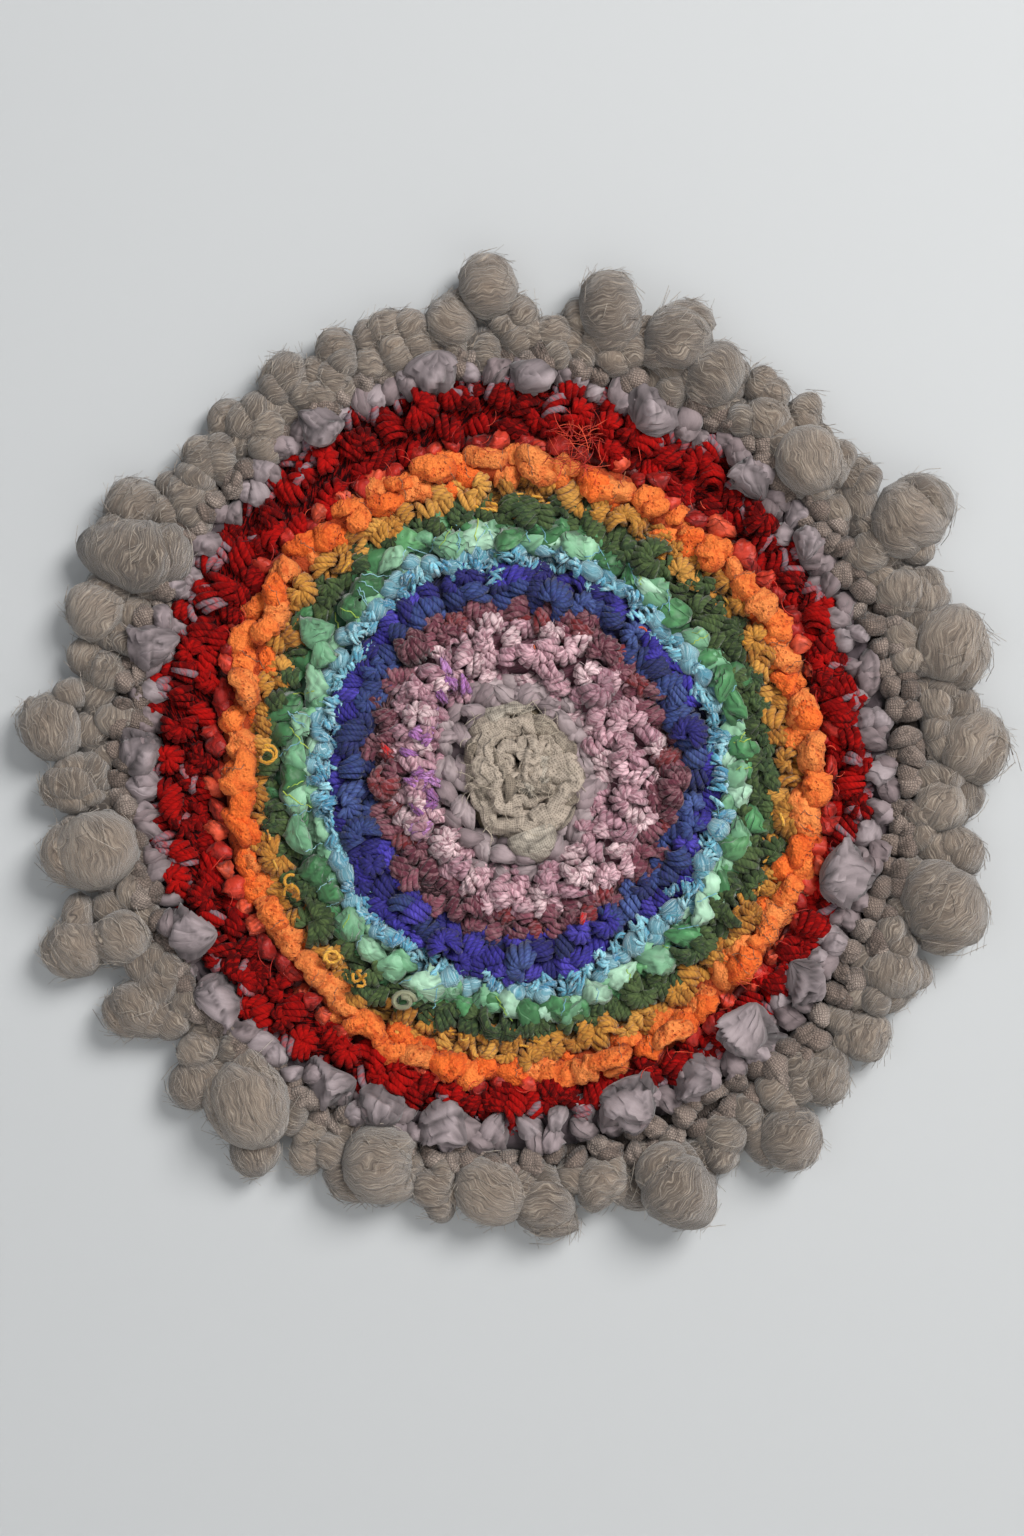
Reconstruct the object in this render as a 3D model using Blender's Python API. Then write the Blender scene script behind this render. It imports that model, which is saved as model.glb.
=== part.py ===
"""Round textile wall hanging, worked outwards from a linen rosette in rounds of yarn and cloth strip.

Sizes are in millimetres and MM turns them into metres. The hanging lies in the XZ plane, with its
flat back on y = 0 and its face towards -Y. A bearing is a clock angle on the face, in degrees: 0 is
straight up and 90 is to the right. The origin is the point where the top of the border is pinned up.
"""

import math
from typing import NamedTuple

import bmesh
import bpy

MM = 0.001

PIN_RADIUS = 276.0        # from the middle of the rounds up to the pinning point
HALF_GAP = 0.17           # half of the space that one round keeps to the next
LAY_GAP = 1.5             # space under a puff that lies over a neighbouring round
WANDER_TURNS = (2, 3, 5)  # how many times each unevenness repeats round a round's edge
WANDER_STEPS = (1.7, 2.1) # radians that it starts later in each round, and in each repeat
SWELL_DRIFT = 0.6         # radians that the swells stray from even spacing
SWELL_DRIFT_TURNS = 5
SHARP_ANGLE = 50          # degrees between faces from which an edge is drawn sharp


class Round(NamedTuple):
    """One round of the work: its outer edge, its section and its material."""

    name: str
    edge_radius: float    # radius of its outer edge
    edge_right: float     # how far that edge's circle lies to the right of the middle
    edge_up: float        # and above it
    wander: float         # unevenness of that edge
    edge_height: float    # thickness at the outer edge
    crown_height: float   # thickness along the middle of the round
    swells: int           # soft rises along the crown, one for each few stitches
    swell_height: float
    steps: int            # sections round the ring
    colour: tuple
    roughness: float


ROUNDS = (
    Round("linen_rosette", 39, 0, 0, 2.4, 13, 22, 7, 1.6, 36, (0.40, 0.35, 0.26), 0.90),
    Round("mauve_jersey_round", 54.5, -4.5, -5.0, 1.4, 13, 17, 11, 1.5, 44, (0.34, 0.28, 0.28), 0.85),
    Round("pink_yarn_round", 85, 3.5, 4.0, 1.5, 13, 21, 15, 1.8, 48, (0.47, 0.27, 0.31), 0.88),
    Round("plum_yarn_round", 100, 0, 0, 1.5, 13, 19, 16, 1.4, 48, (0.16, 0.06, 0.08), 0.88),
    Round("indigo_yarn_round", 122, 0, 0, 1.8, 12, 20, 20, 1.6, 60, (0.07, 0.06, 0.28), 0.80),
    Round("turquoise_yarn_round", 134, 0, 0, 1.4, 12, 18, 20, 1.2, 60, (0.16, 0.48, 0.62), 0.90),
    Round("green_satin_round", 149, -6.0, 2.0, 1.4, 13, 20, 20, 1.6, 60, (0.16, 0.43, 0.24), 0.55),
    Round("forest_wool_round", 161, 0, 0, 1.5, 12, 18, 20, 1.5, 60, (0.06, 0.09, 0.03), 0.90),
    Round("ochre_wool_round", 172.5, 0, 0, 1.4, 12, 18, 20, 1.5, 60, (0.42, 0.19, 0.03), 0.88),
    Round("orange_knit_round", 188, 0, 0, 1.8, 13, 23, 24, 2.6, 72, (0.95, 0.25, 0.06), 0.80),
    Round("coral_voile_round", 195, 0, 0, 1.2, 12, 17, 20, 1.2, 60, (0.55, 0.06, 0.04), 0.70),
    Round("red_wool_round", 217.5, -10, 4, 1.6, 13, 20, 24, 1.5, 72, (0.30, 0.01, 0.01), 0.88),
    Round("mauve_cotton_round", 234, -6, 3, 1.6, 14, 21, 27, 1.6, 80, (0.36, 0.30, 0.31), 0.85),
    Round("taupe_knit_round", 249, -2, 1, 1.6, 15, 22, 27, 1.8, 80, (0.33, 0.27, 0.24), 0.88),
    Round("grey_roving_border", 273, -3, 5, 2.0, 12, 20, 40, 2.4, 120, (0.28, 0.24, 0.19), 0.95),
)

# Bearings of the larger bobbles and knots that stand up from a round, with their height and spread
BOBBLE_HEIGHT = 6.0
BOBBLE_SPREAD = 7.5
BOBBLES = {
    "pink_yarn_round": (8, 48, 78, 104, 152, 228, 300),
    "plum_yarn_round": (34, 96, 262, 318),
    "indigo_yarn_round": (12, 76, 182, 205, 250),
    "forest_wool_round": (30, 124, 137, 154, 185, 232),
    "orange_knit_round": (22, 63, 98, 130, 165, 196, 262, 286, 304, 322, 342),
    "red_wool_round": (10, 44, 212, 248, 276, 345),
    "mauve_cotton_round": (2, 21, 39, 109, 127, 139, 150, 163, 192, 203, 211, 233, 243, 272, 288, 330, 348),
    "taupe_knit_round": (36, 70, 96, 118, 140, 156, 222),
}


class Puff(NamedTuple):
    """One thick puff of the roving in the border."""

    bearing: float   # of its middle, from the middle of the rounds
    distance: float  # of its middle, from the middle of the rounds
    length: float
    width: float
    lie: float       # bearing of its long axis


PUFFS = (
    Puff(0, 277, 24, 23, 0), Puff(4, 262, 32, 25, 80), Puff(11, 284, 50, 40, 170),
    Puff(15, 261, 30, 24, 110), Puff(20, 279, 46, 40, 60), Puff(26, 266, 43, 38, 40),
    Puff(32, 277, 24, 22, 0), Puff(35, 261, 32, 28, 0), Puff(39, 275, 25, 22, 0),
    Puff(43, 257, 46, 41, 160), Puff(49, 270, 28, 22, 0), Puff(57, 285, 50, 45, 90),
    Puff(58, 256, 34, 28, 30), Puff(65, 258, 35, 28, 60), Puff(74, 274, 56, 38, 170),
    Puff(81, 260, 30, 25, 10), Puff(87, 276, 54, 36, 175), Puff(95, 258, 37, 32, 0),
    Puff(101, 276, 30, 26, 20), Puff(108, 271, 59, 41, 10), Puff(119, 259, 37, 32, 60),
    Puff(128, 268, 31, 26, 0), Puff(136, 264, 35, 30, 60), Puff(144, 278, 44, 37, 80),
    Puff(151, 258, 32, 27, 20), Puff(160, 272, 48, 45, 80), Puff(169, 257, 37, 28, 70),
    Puff(177, 271, 40, 33, 90), Puff(184, 257, 53, 35, 95), Puff(192, 262, 31, 25, 80),
    Puff(200, 257, 50, 46, 150), Puff(202, 277, 32, 23, 90), Puff(209, 270, 28, 23, 60),
    Puff(215, 289, 37, 24, 110), Puff(219, 264, 60, 49, 140), Puff(226, 280, 35, 26, 0),
    Puff(229, 262, 30, 26, 40), Puff(238, 280, 38, 31, 150), Puff(239, 260, 30, 26, 60),
    Puff(247, 266, 38, 35, 0), Puff(248, 295, 41, 33, 0), Puff(259, 266, 55, 49, 45),
    Puff(268, 275, 38, 29, 90), Puff(275, 288, 45, 36, 0), Puff(283, 264, 30, 26, 20),
    Puff(290, 275, 39, 35, 30), Puff(299, 268, 60, 48, 100), Puff(304, 284, 37, 33, 60),
    Puff(309, 262, 32, 27, 90), Puff(314, 271, 29, 25, 30), Puff(321, 273, 28, 24, 50),
    Puff(323, 257, 28, 24, 60), Puff(329, 281, 32, 28, 60), Puff(334, 262, 28, 24, 50),
    Puff(336, 279, 28, 24, 60), Puff(343, 280, 32, 24, 80), Puff(346, 265, 30, 25, 60),
    Puff(351, 277, 37, 30, 150), Puff(355, 262, 30, 25, 90), Puff(356, 294, 40, 38, 5),
)
PUFF_ROUNDING = 1.04      # makes up for the flat faces between a puff's points
PUFF_DEPTH = 0.86         # a puff's thickness off the wall, as a share of its width
PUFF_CLEAR = 0.2          # a puff's back stands this far off the plane of the wall
PUFF_SECTIONS = 9
PUFF_RINGS = 6
BORDER_LOBE = 4.0         # how far each swell of the border's band bulges past its outer edge
BORDER_UNCUT = 1.5        # the border's band starts this far inside its place, and is cut back
BORDER_DROP = 2.0         # there it is this much thinner than the round inside it
ROOM_SHOULDER = 0.7       # the cutting block is level up to this share of the taupe round
ROOM_BEHIND = 6.0         # the cutting block reaches this far behind the wall's plane
ROOM_HEIGHT = 80.0        # and this far in front of it

BAND_PROFILE = {          # where a round's face has points, as shares of its width
    "pink_yarn_round": (0.0, 0.3, 0.7, 1.0),
    "red_wool_round": (0.0, 0.3, 0.7, 1.0),
    "mauve_cotton_round": (0.0, 0.35, 0.7, 1.0),
    "taupe_knit_round": (0.0, 0.35, 0.7, 1.0),
}
PLAIN_PROFILE = (0.0, 0.5, 1.0)
ROSETTE_RINGS = (0.22, 0.45, 0.72)  # the rosette's inner points, as shares of its radius
ROSETTE_SINK = (3.0, -1.5, 2.5)     # how far each is sunk below the crown
ROSETTE_HEART = 4.5                 # how far the middle is sunk


def clear_scene():
    for thing in list(bpy.data.objects):
        bpy.data.objects.remove(thing)


def material_of(row):
    finish = bpy.data.materials.new(row.name)
    finish.use_nodes = True
    shader = finish.node_tree.nodes["Principled BSDF"]
    shader.inputs["Base Color"].default_value = (*row.colour, 1)
    shader.inputs["Roughness"].default_value = row.roughness
    shader.inputs["Metallic"].default_value = 0.0
    finish.diffuse_color = (*row.colour, 1)
    return finish


def edge_point(index, bearing, offset):
    """Right and up of the middle, on the outer edge of a round, moved outwards by offset."""
    row = ROUNDS[index]
    angle = math.radians(bearing)
    radius = row.edge_radius + offset
    for order, turns in enumerate(WANDER_TURNS):
        share = row.wander / (order + 1)
        start = WANDER_STEPS[0] * index + WANDER_STEPS[1] * order
        radius += share * math.sin(turns * angle + start)
    if index == len(ROUNDS) - 1:
        radius += BORDER_LOBE * math.cos(row.swells * angle)
    return row.edge_right + radius * math.sin(angle), row.edge_up + radius * math.cos(angle)


def crown_at(index, bearing):
    """Thickness of a round along its crown at this bearing, with its swells and bobbles."""
    row = ROUNDS[index]
    angle = math.radians(bearing)
    drift = SWELL_DRIFT * math.sin(SWELL_DRIFT_TURNS * angle + index)
    height = row.crown_height + row.swell_height * math.cos(row.swells * angle + drift)
    inner = ROUNDS[index - 1].edge_radius if index else 0.0
    middle = (row.edge_radius + inner) / 2
    for bobble in BOBBLES.get(row.name, ()):
        away = abs((bearing - bobble + 180) % 360 - 180)
        arc = math.radians(away) * middle
        height += BOBBLE_HEIGHT * math.exp(-(arc / BOBBLE_SPREAD) ** 2)
    return height


def add_object(name, mesh_data, finish):
    mesh = bpy.data.meshes.new(name)
    mesh_data.to_mesh(mesh)
    mesh_data.free()
    thing = bpy.data.objects.new(name, mesh)
    bpy.context.scene.collection.objects.link(thing)
    if finish:
        mesh.materials.append(finish)
    mesh.shade_smooth()
    mesh.set_sharp_from_angle(angle=math.radians(SHARP_ANGLE))
    return thing


def at(shape, right, up, height):
    """A mesh point, from millimetres off the middle of the rounds and off the wall."""
    return shape.verts.new((right * MM, -height * MM, (up - PIN_RADIUS) * MM))


def bridge(shape, loops):
    """Joins loops of points that go round the middle, each to the next."""
    for here, there in zip(loops, loops[1:]):
        for i in range(len(here)):
            j = (i + 1) % len(here)
            shape.faces.new((here[i], here[j], there[j], there[i]))


def ring_mesh(index, inner_offset=HALF_GAP, inner_drop=0.0):
    """A closed ring with a flat back, upright edges and a crowned face."""
    row = ROUNDS[index]
    shares = BAND_PROFILE.get(row.name, PLAIN_PROFILE)
    inner_height = ROUNDS[index - 1].edge_height - inner_drop
    shape = bmesh.new()
    loops = [[] for _ in range(len(shares) + 2)]
    for step in range(row.steps):
        bearing = 360 * step / row.steps
        inner = edge_point(index - 1, bearing, inner_offset)
        outer = edge_point(index, bearing, -HALF_GAP)
        crown = crown_at(index, bearing)
        loops[0].append(at(shape, *inner, 0))
        for number, share in enumerate(shares):
            right = inner[0] + (outer[0] - inner[0]) * share
            up = inner[1] + (outer[1] - inner[1]) * share
            edge = inner_height + (row.edge_height - inner_height) * share
            rise = math.sin(math.pi * share) ** 0.5
            loops[number + 1].append(at(shape, right, up, edge + (crown - edge) * rise))
        loops[-1].append(at(shape, *outer, 0))
    bridge(shape, loops + loops[:1])
    bmesh.ops.recalc_face_normals(shape, faces=shape.faces)
    return shape


def rosette_mesh():
    """The linen strip wound on itself: a closed disc with a flat back and a folded face."""
    row = ROUNDS[0]
    shape = bmesh.new()
    loops = [[] for _ in range(len(ROSETTE_RINGS) + 2)]
    for step in range(row.steps):
        bearing = 360 * step / row.steps
        edge = edge_point(0, bearing, -HALF_GAP)
        crown = crown_at(0, bearing)
        for number, (share, sink) in enumerate(zip(ROSETTE_RINGS, ROSETTE_SINK)):
            loops[number].append(at(shape, edge[0] * share, edge[1] * share, crown - sink))
        loops[-2].append(at(shape, *edge, row.edge_height))
        loops[-1].append(at(shape, *edge, 0))
    bridge(shape, loops)
    heart = at(shape, 0, 0, row.crown_height - ROSETTE_HEART)
    back = at(shape, 0, 0, 0)
    for i in range(row.steps):
        j = (i + 1) % row.steps
        shape.faces.new((loops[0][j], loops[0][i], heart))
        shape.faces.new((loops[-1][i], loops[-1][j], back))
    bmesh.ops.recalc_face_normals(shape, faces=shape.faces)
    return shape


def puff_tool(number, puff):
    """One puff of roving as an ellipsoid that just clears the wall, to be joined to the band."""
    angle = math.radians(puff.bearing)
    half_width = puff.width * PUFF_ROUNDING / 2
    half_length = puff.length * PUFF_ROUNDING / 2
    half_depth = puff.width * PUFF_DEPTH / 2
    bpy.ops.mesh.primitive_uv_sphere_add(segments=PUFF_SECTIONS, ring_count=PUFF_RINGS, radius=1)
    tool = bpy.context.object
    tool.name = f"puff_tool_{number}"
    tool.scale = (half_width * MM, half_depth * MM, half_length * MM)
    tool.rotation_euler = (0, math.radians(puff.lie), 0)
    tool.location = (
        puff.distance * math.sin(angle) * MM,
        -(half_depth + PUFF_CLEAR) * MM,
        (puff.distance * math.cos(angle) - PIN_RADIUS) * MM,
    )
    bpy.ops.object.transform_apply(location=True, rotation=True, scale=True)
    return tool


def room_tool(index):
    """The space of a round and of all inside it: puffs may lie over this round, not further in."""
    row = ROUNDS[index]
    shape = bmesh.new()
    loops = [[] for _ in range(5)]
    for step in range(row.steps):
        bearing = 360 * step / row.steps
        outer = edge_point(index, bearing, HALF_GAP)
        inner = edge_point(index - 1, bearing, HALF_GAP)
        shoulder = (
            inner[0] + (outer[0] - inner[0]) * ROOM_SHOULDER,
            inner[1] + (outer[1] - inner[1]) * ROOM_SHOULDER,
        )
        cover = crown_at(index, bearing) + LAY_GAP
        loops[0].append(at(shape, *outer, -ROOM_BEHIND))
        loops[1].append(at(shape, *outer, row.edge_height + LAY_GAP))
        loops[2].append(at(shape, *shoulder, cover))
        loops[3].append(at(shape, *inner, cover))
        loops[4].append(at(shape, *inner, ROOM_HEIGHT))
    bridge(shape, loops)
    shape.faces.new(loops[0])
    shape.faces.new(loops[-1])
    bmesh.ops.recalc_face_normals(shape, faces=shape.faces)
    return add_object("room_tool", shape, None)


def hide_tool(tool, group=None):
    tool.hide_render = True
    tool.display_type = "WIRE"
    if group:
        for home in list(tool.users_collection):
            home.objects.unlink(tool)
        group.objects.link(tool)


def add_border(index):
    """The roving border: a low band with the puffs joined on, cut clear of the rounds inside it."""
    finish = material_of(ROUNDS[index])
    band = ring_mesh(index, -BORDER_UNCUT, BORDER_DROP)
    border = add_object(ROUNDS[index].name, band, finish)
    puffs = bpy.data.collections.new("puff_tools")
    bpy.context.scene.collection.children.link(puffs)
    for number, puff in enumerate(PUFFS):
        hide_tool(puff_tool(number, puff), puffs)
    join = border.modifiers.new("puffs", "BOOLEAN")
    join.operation = "UNION"
    join.operand_type = "COLLECTION"
    join.collection = puffs
    tool = room_tool(index - 1)
    hide_tool(tool)
    cut = border.modifiers.new("room", "BOOLEAN")
    cut.operation = "DIFFERENCE"
    cut.object = tool


def main():
    clear_scene()
    add_object(ROUNDS[0].name, rosette_mesh(), material_of(ROUNDS[0]))
    for index in range(1, len(ROUNDS) - 1):
        add_object(ROUNDS[index].name, ring_mesh(index), material_of(ROUNDS[index]))
    add_border(len(ROUNDS) - 1)


main()
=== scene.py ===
"""Looks of a round textile wall hanging: every loop, fold and puff of it, from the middle outwards."""

import math

import bpy
import numpy as np
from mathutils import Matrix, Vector
from mathutils.bvhtree import BVHTree


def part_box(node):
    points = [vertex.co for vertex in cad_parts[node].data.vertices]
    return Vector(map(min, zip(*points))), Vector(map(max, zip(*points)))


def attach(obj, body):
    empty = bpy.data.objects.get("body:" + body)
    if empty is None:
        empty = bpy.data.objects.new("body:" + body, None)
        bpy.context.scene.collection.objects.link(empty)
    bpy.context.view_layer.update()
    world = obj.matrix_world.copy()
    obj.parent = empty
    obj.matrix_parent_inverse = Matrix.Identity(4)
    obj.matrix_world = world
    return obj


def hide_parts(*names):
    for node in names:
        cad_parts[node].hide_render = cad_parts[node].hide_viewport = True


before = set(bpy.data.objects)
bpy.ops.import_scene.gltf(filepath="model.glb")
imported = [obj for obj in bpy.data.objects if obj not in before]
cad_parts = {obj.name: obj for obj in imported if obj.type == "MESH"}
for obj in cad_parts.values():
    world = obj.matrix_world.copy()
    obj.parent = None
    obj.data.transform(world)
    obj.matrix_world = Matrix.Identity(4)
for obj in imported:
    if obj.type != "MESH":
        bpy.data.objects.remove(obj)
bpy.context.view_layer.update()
bpy.ops.object.select_all(action="DESELECT")


# Linen rosette
# A torn strip of beige linen, crumpled and wound on itself in the middle of the hanging.
# Its folds lie over one another, and its torn edges fray into loose threads.

MM = 0.001
PI = math.pi
CENTRE_DOWN = 276 * MM    # from the pinning point down to the middle of the rounds


def rgb(red, green, blue):
    """A display colour of 0 to 255 as the linear values that a shader takes."""
    shares = np.array([red, green, blue]) / 255
    return np.where(shares <= 0.04045, shares / 12.92, ((shares + 0.055) / 1.055) ** 2.4)


BACK_DEPTH = 1 * MM       # points of a solid nearer to the wall than this lie on its flat back
EDGE_STEP = 3             # degrees from one reading of an edge to the next
EDGE_REACH = 5            # degrees to each side that one reading takes in


def apart(bearing, other):
    """How many degrees lie between two bearings, the shorter way round."""
    return np.abs((bearing - other + 180) % 360 - 180)


def edges_of(node_name):
    """The edges of a round: bearings in degrees, and its inner and outer radius at each."""
    points = np.array([vertex.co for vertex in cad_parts[node_name].data.vertices])
    back = points[points[:, 1] > -BACK_DEPTH]
    right, up = back[:, 0], back[:, 2] + CENTRE_DOWN
    bearing = np.degrees(np.arctan2(right, up)) % 360
    radius = np.hypot(right, up)
    steps = np.arange(0, 360, EDGE_STEP)
    inner, outer = [], []
    for step in steps:
        near = apart(bearing, step) < EDGE_REACH
        inner.append(radius[near].min())
        outer.append(radius[near].max())
    return steps, np.array(inner), np.array(outer)


class Ball:
    """The grid of a round ball: where its points lie along and around it, and its faces.

    Its corners have turns of their own, so that no face of the map runs back over the seam."""

    def __init__(self, sections, rings):
        bpy.ops.mesh.primitive_uv_sphere_add(segments=sections, ring_count=rings, radius=1)
        ball = bpy.context.object
        points = np.array([vertex.co for vertex in ball.data.vertices])
        self.along = np.arccos(np.clip(points[:, 2], -1, 1)) / PI
        self.around = np.arctan2(points[:, 1], points[:, 0])
        self.sizes = np.array([len(face.vertices) for face in ball.data.polygons])
        self.corners = np.array([corner for face in ball.data.polygons for corner in face.vertices])
        around = []
        for face in ball.data.polygons:
            turns = self.around[list(face.vertices)]
            at_pole = np.hypot(*points[list(face.vertices)][:, :2].T) < 1e-6
            if np.ptp(turns[~at_pole]) > PI:
                turns = np.where(turns < 0, turns + 2 * PI, turns)
            turns = np.where(at_pole, turns[~at_pole].mean(), turns)
            around += list(turns)
        self.corner_around = np.array(around)
        self.corner_along = self.along[self.corners]
        bpy.data.meshes.remove(ball.data)


BEHIND = -2.0 * MM        # nothing of a loop reaches further back than this


def wander(bearing, radius):
    """How far outwards the hand-worked rounds stray at a bearing: they are a little oval and wavy.

    The numbers are millimetres, and turns of waves round the hanging."""
    b, r = np.radians(bearing), radius / MM
    oval = 4.0 * np.cos(2 * b) - 1.8 * np.sin(2 * b) - 1.5 * np.sin(3 * b) - 1.8 * np.cos(b) - 1.3 * np.sin(b)
    waves = 1.3 * np.sin(7 * b + r / 23) + 1.1 * np.sin(11 * b - r / 17 + 2) + 0.8 * np.sin(17 * b + r / 13)
    red_edge = (5 + 7 * np.cos(b) + 3 * np.cos(3 * b)) * np.exp(-((r - 216) / 27) ** 2)
    inside = np.clip(r / 30, 0, 1) * np.clip((272 - r) / 50, 0, 1)
    return (oval * inside + waves * inside + red_edge) * MM


def lay(shape, bearing, radius, turn, top, lean=0.0):
    """Places points of length, width and height on the face, their tallest at the given height.

    turn is the angle of their length from the outward direction, and lean tips them outwards."""
    b, turn = math.radians(bearing), math.radians(turn)
    out = np.array([math.sin(b), 0, math.cos(b)])
    side = np.array([math.cos(b), 0, -math.sin(b)])
    front = np.array([0, -1, 0])
    tipped = front * math.cos(lean) + out * math.sin(lean)
    flat = out * math.cos(lean) - front * math.sin(lean)
    length = flat * math.cos(turn) + side * math.sin(turn)
    width = flat * math.sin(turn) - side * math.cos(turn)
    points = shape[:, :1] * length + shape[:, 1:2] * width + shape[:, 2:3] * tipped
    centre = out * (radius + wander(bearing, radius)) + np.array([0, 0, -CENTRE_DOWN])
    points = points + centre + front * (top + points[:, 1].min())
    # each piece is cut off at a depth of its own, so that no two backs lie in one plane
    own_back = BEHIND - (bearing * 7.31 + radius / MM * 3.17 + top / MM * 1.9) % 1.5 * MM
    points[:, 1] = np.minimum(points[:, 1], own_back)
    return points


# painted shade: a lump's tone is darkened below its top, to 0.45 of it at this depth
LUMP_SHADE_DEPTH = 9 * MM        # how far below its top a lump gets dark


class Heap:
    """The pieces of one round, gathered as arrays until they are sewn into one mesh.

    node_name is the solid that it dresses, and rng gives the random draws for it."""

    def __init__(self, node_name, rng):
        self.node_name = node_name
        self.rng = rng
        self.points, self.corners, self.sizes, self.maps, self.tones = [], [], [], [], []
        self.count = 0

    def add(self, points, corners, sizes, maps, tone, fade=0.0):
        """Adds one piece. Its tone is darkened below its top as painted shade, to 0.45 of it at the shade
        depth.
        """
        tones = np.broadcast_to(tone, (len(points), 3))
        # each piece has its own place on the map, so that no two pieces look alike
        own_place = np.array([self.count * 0.731 % 97, self.count * 0.377 % 89])
        # painted shade: the low points of a piece are darkened, where the pieces around it shade them
        if fade:
            below = (points[:, 1] - points[:, 1].min()) / fade
            tones = tones * (1 - 0.55 * np.clip(below, 0, 1)[:, None] ** 1.2)
        self.points.append(points)
        self.corners.append(corners + self.count)
        self.sizes.append(sizes)
        self.maps.append(maps + own_place)
        self.tones.append(tones)
        self.count += len(points)

    def add_ball(self, ball, points, maps, tone, fade=LUMP_SHADE_DEPTH):
        """Adds one lump that was made of a ball's grid."""
        self.add(points, ball.corners, ball.sizes, maps, tone, fade)

    def surface(self):
        """A search tree over the heap so far, for the threads that lie over it."""
        points, corners = np.concatenate(self.points), np.concatenate(self.corners)
        ends = np.cumsum(np.concatenate(self.sizes))
        faces = [part.tolist() for part in np.split(corners, ends[:-1])]
        return BVHTree.FromPolygons(points.tolist(), faces)

    def sew(self, name, finish, replaces=True):
        """Makes one piece of the heap, with its map in millimetres and its tones."""
        points = np.concatenate(self.points)
        corners = np.concatenate(self.corners)
        sizes = np.concatenate(self.sizes)
        mesh = bpy.data.meshes.new(name)
        mesh.vertices.add(len(points))
        mesh.vertices.foreach_set("co", points.astype(np.float32).ravel())
        mesh.loops.add(len(corners))
        mesh.loops.foreach_set("vertex_index", corners.astype(np.int32))
        mesh.polygons.add(len(sizes))
        starts = np.concatenate([[0], np.cumsum(sizes)[:-1]])
        mesh.polygons.foreach_set("loop_start", starts.astype(np.int32))
        mesh.update(calc_edges=True)
        strands = mesh.uv_layers.new(name="strands")
        strands.data.foreach_set("uv", np.concatenate(self.maps).astype(np.float32).ravel())
        tones = np.ones((len(points), 4), np.float32)
        tones[:, :3] = np.concatenate(self.tones)
        tone = mesh.attributes.new("tone", "FLOAT_COLOR", "POINT")
        tone.data.foreach_set("color", tones.ravel())
        mesh.shade_smooth()
        mesh.materials.append(finish)
        piece = bpy.data.objects.new(name, mesh)
        bpy.context.scene.collection.objects.link(piece)
        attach(piece, "root")
        if replaces:
            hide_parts(self.node_name)
        print(name, int((sizes - 2).sum()), "triangles")


def lump(ball, body, bend, length, width, height, arch, edge=1.0):
    """The points of a lump, and its map in millimetres.

    body is how full it is at each point, bend how far its middle lies aside, and arch how far its
    ends go down as a share of its height. edge above 1 gives it sharp sides."""
    along = 1 - 2 * ball.along
    points = np.empty((len(along), 3))
    points[:, 0] = along * length / 2
    points[:, 1] = np.cos(ball.around) * body * width / 2 + bend * (1 - along ** 2)
    tall = np.sign(np.sin(ball.around)) * np.abs(np.sin(ball.around)) ** edge
    points[:, 2] = tall * body * height / 2 - arch * height * along ** 2
    maps = np.stack([ball.corner_along * length, ball.corner_around * width / 2], 1) / MM
    return points, maps


def folded(ball, rng, length, width, height, creases, depth, pinch=0.75, arch=0.35, edge=1.0, nubs=0.0,
           fan=0.0, crisp=0.30, slant=1.3):
    """A lump of cloth strip: pinched at both ends, with crisp folds that overlap across it.

    edge above 1 gives it sharp sides, nubs an uneven surface, and fan makes it wider to one end.
    crisp is how wide the painted shade beside a fold is, and slant how far folds lie across it.
    It gives its points, its map in millimetres, and a painted shade that darkens the creases and pleats."""
    along = 1 - 2 * ball.along
    reach = (1 - np.abs(along) ** 2.4) ** pinch
    around = ball.around
    swell, shade = np.zeros(len(along)), np.ones(len(along))
    for _ in range(creases):
        start = rng.uniform(-0.1, PI + 0.1)
        slope = rng.uniform(-slant, slant)
        bow = rng.uniform(-0.25, 0.25)
        wide = rng.uniform(0.8, 1.8)
        way = rng.choice([-1, 1])
        past = np.mod(way * (around - start - slope * along - bow * np.sin(4 * along)), 2 * PI)
        swell += depth * rng.uniform(0.6, 1.3) * np.clip(1 - past / wide, 0, 1)
        # painted shade along the foot of each fold
        shade *= 1 - 0.45 * np.exp(-((2 * PI - past) / crisp) ** 2)
    pleats = rng.integers(5, 8)
    pleat = 1 - np.abs(np.sin(pleats * around / 2 + rng.uniform(0, 3) + 0.4 * along)) ** 0.4
    gather = np.clip(np.abs(along) * 1.5 - 0.35, 0, 1)
    swell -= 0.30 * gather * pleat
    # painted shade in the pleats near the pinched ends
    shade *= 1 - 0.4 * gather * pleat
    swell += 0.06 * np.cos(2 * around + 3 * along + rng.uniform(0, 6)) + nubs * rng.normal(size=len(along))
    body = reach * (1 + swell - depth * 0.5) * (1 + fan * rng.choice([-1, 1]) * along)
    bend = rng.uniform(-0.12, 0.12) * length
    return *lump(ball, body, bend, length, width, height, arch, edge), shade[:, None]


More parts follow.
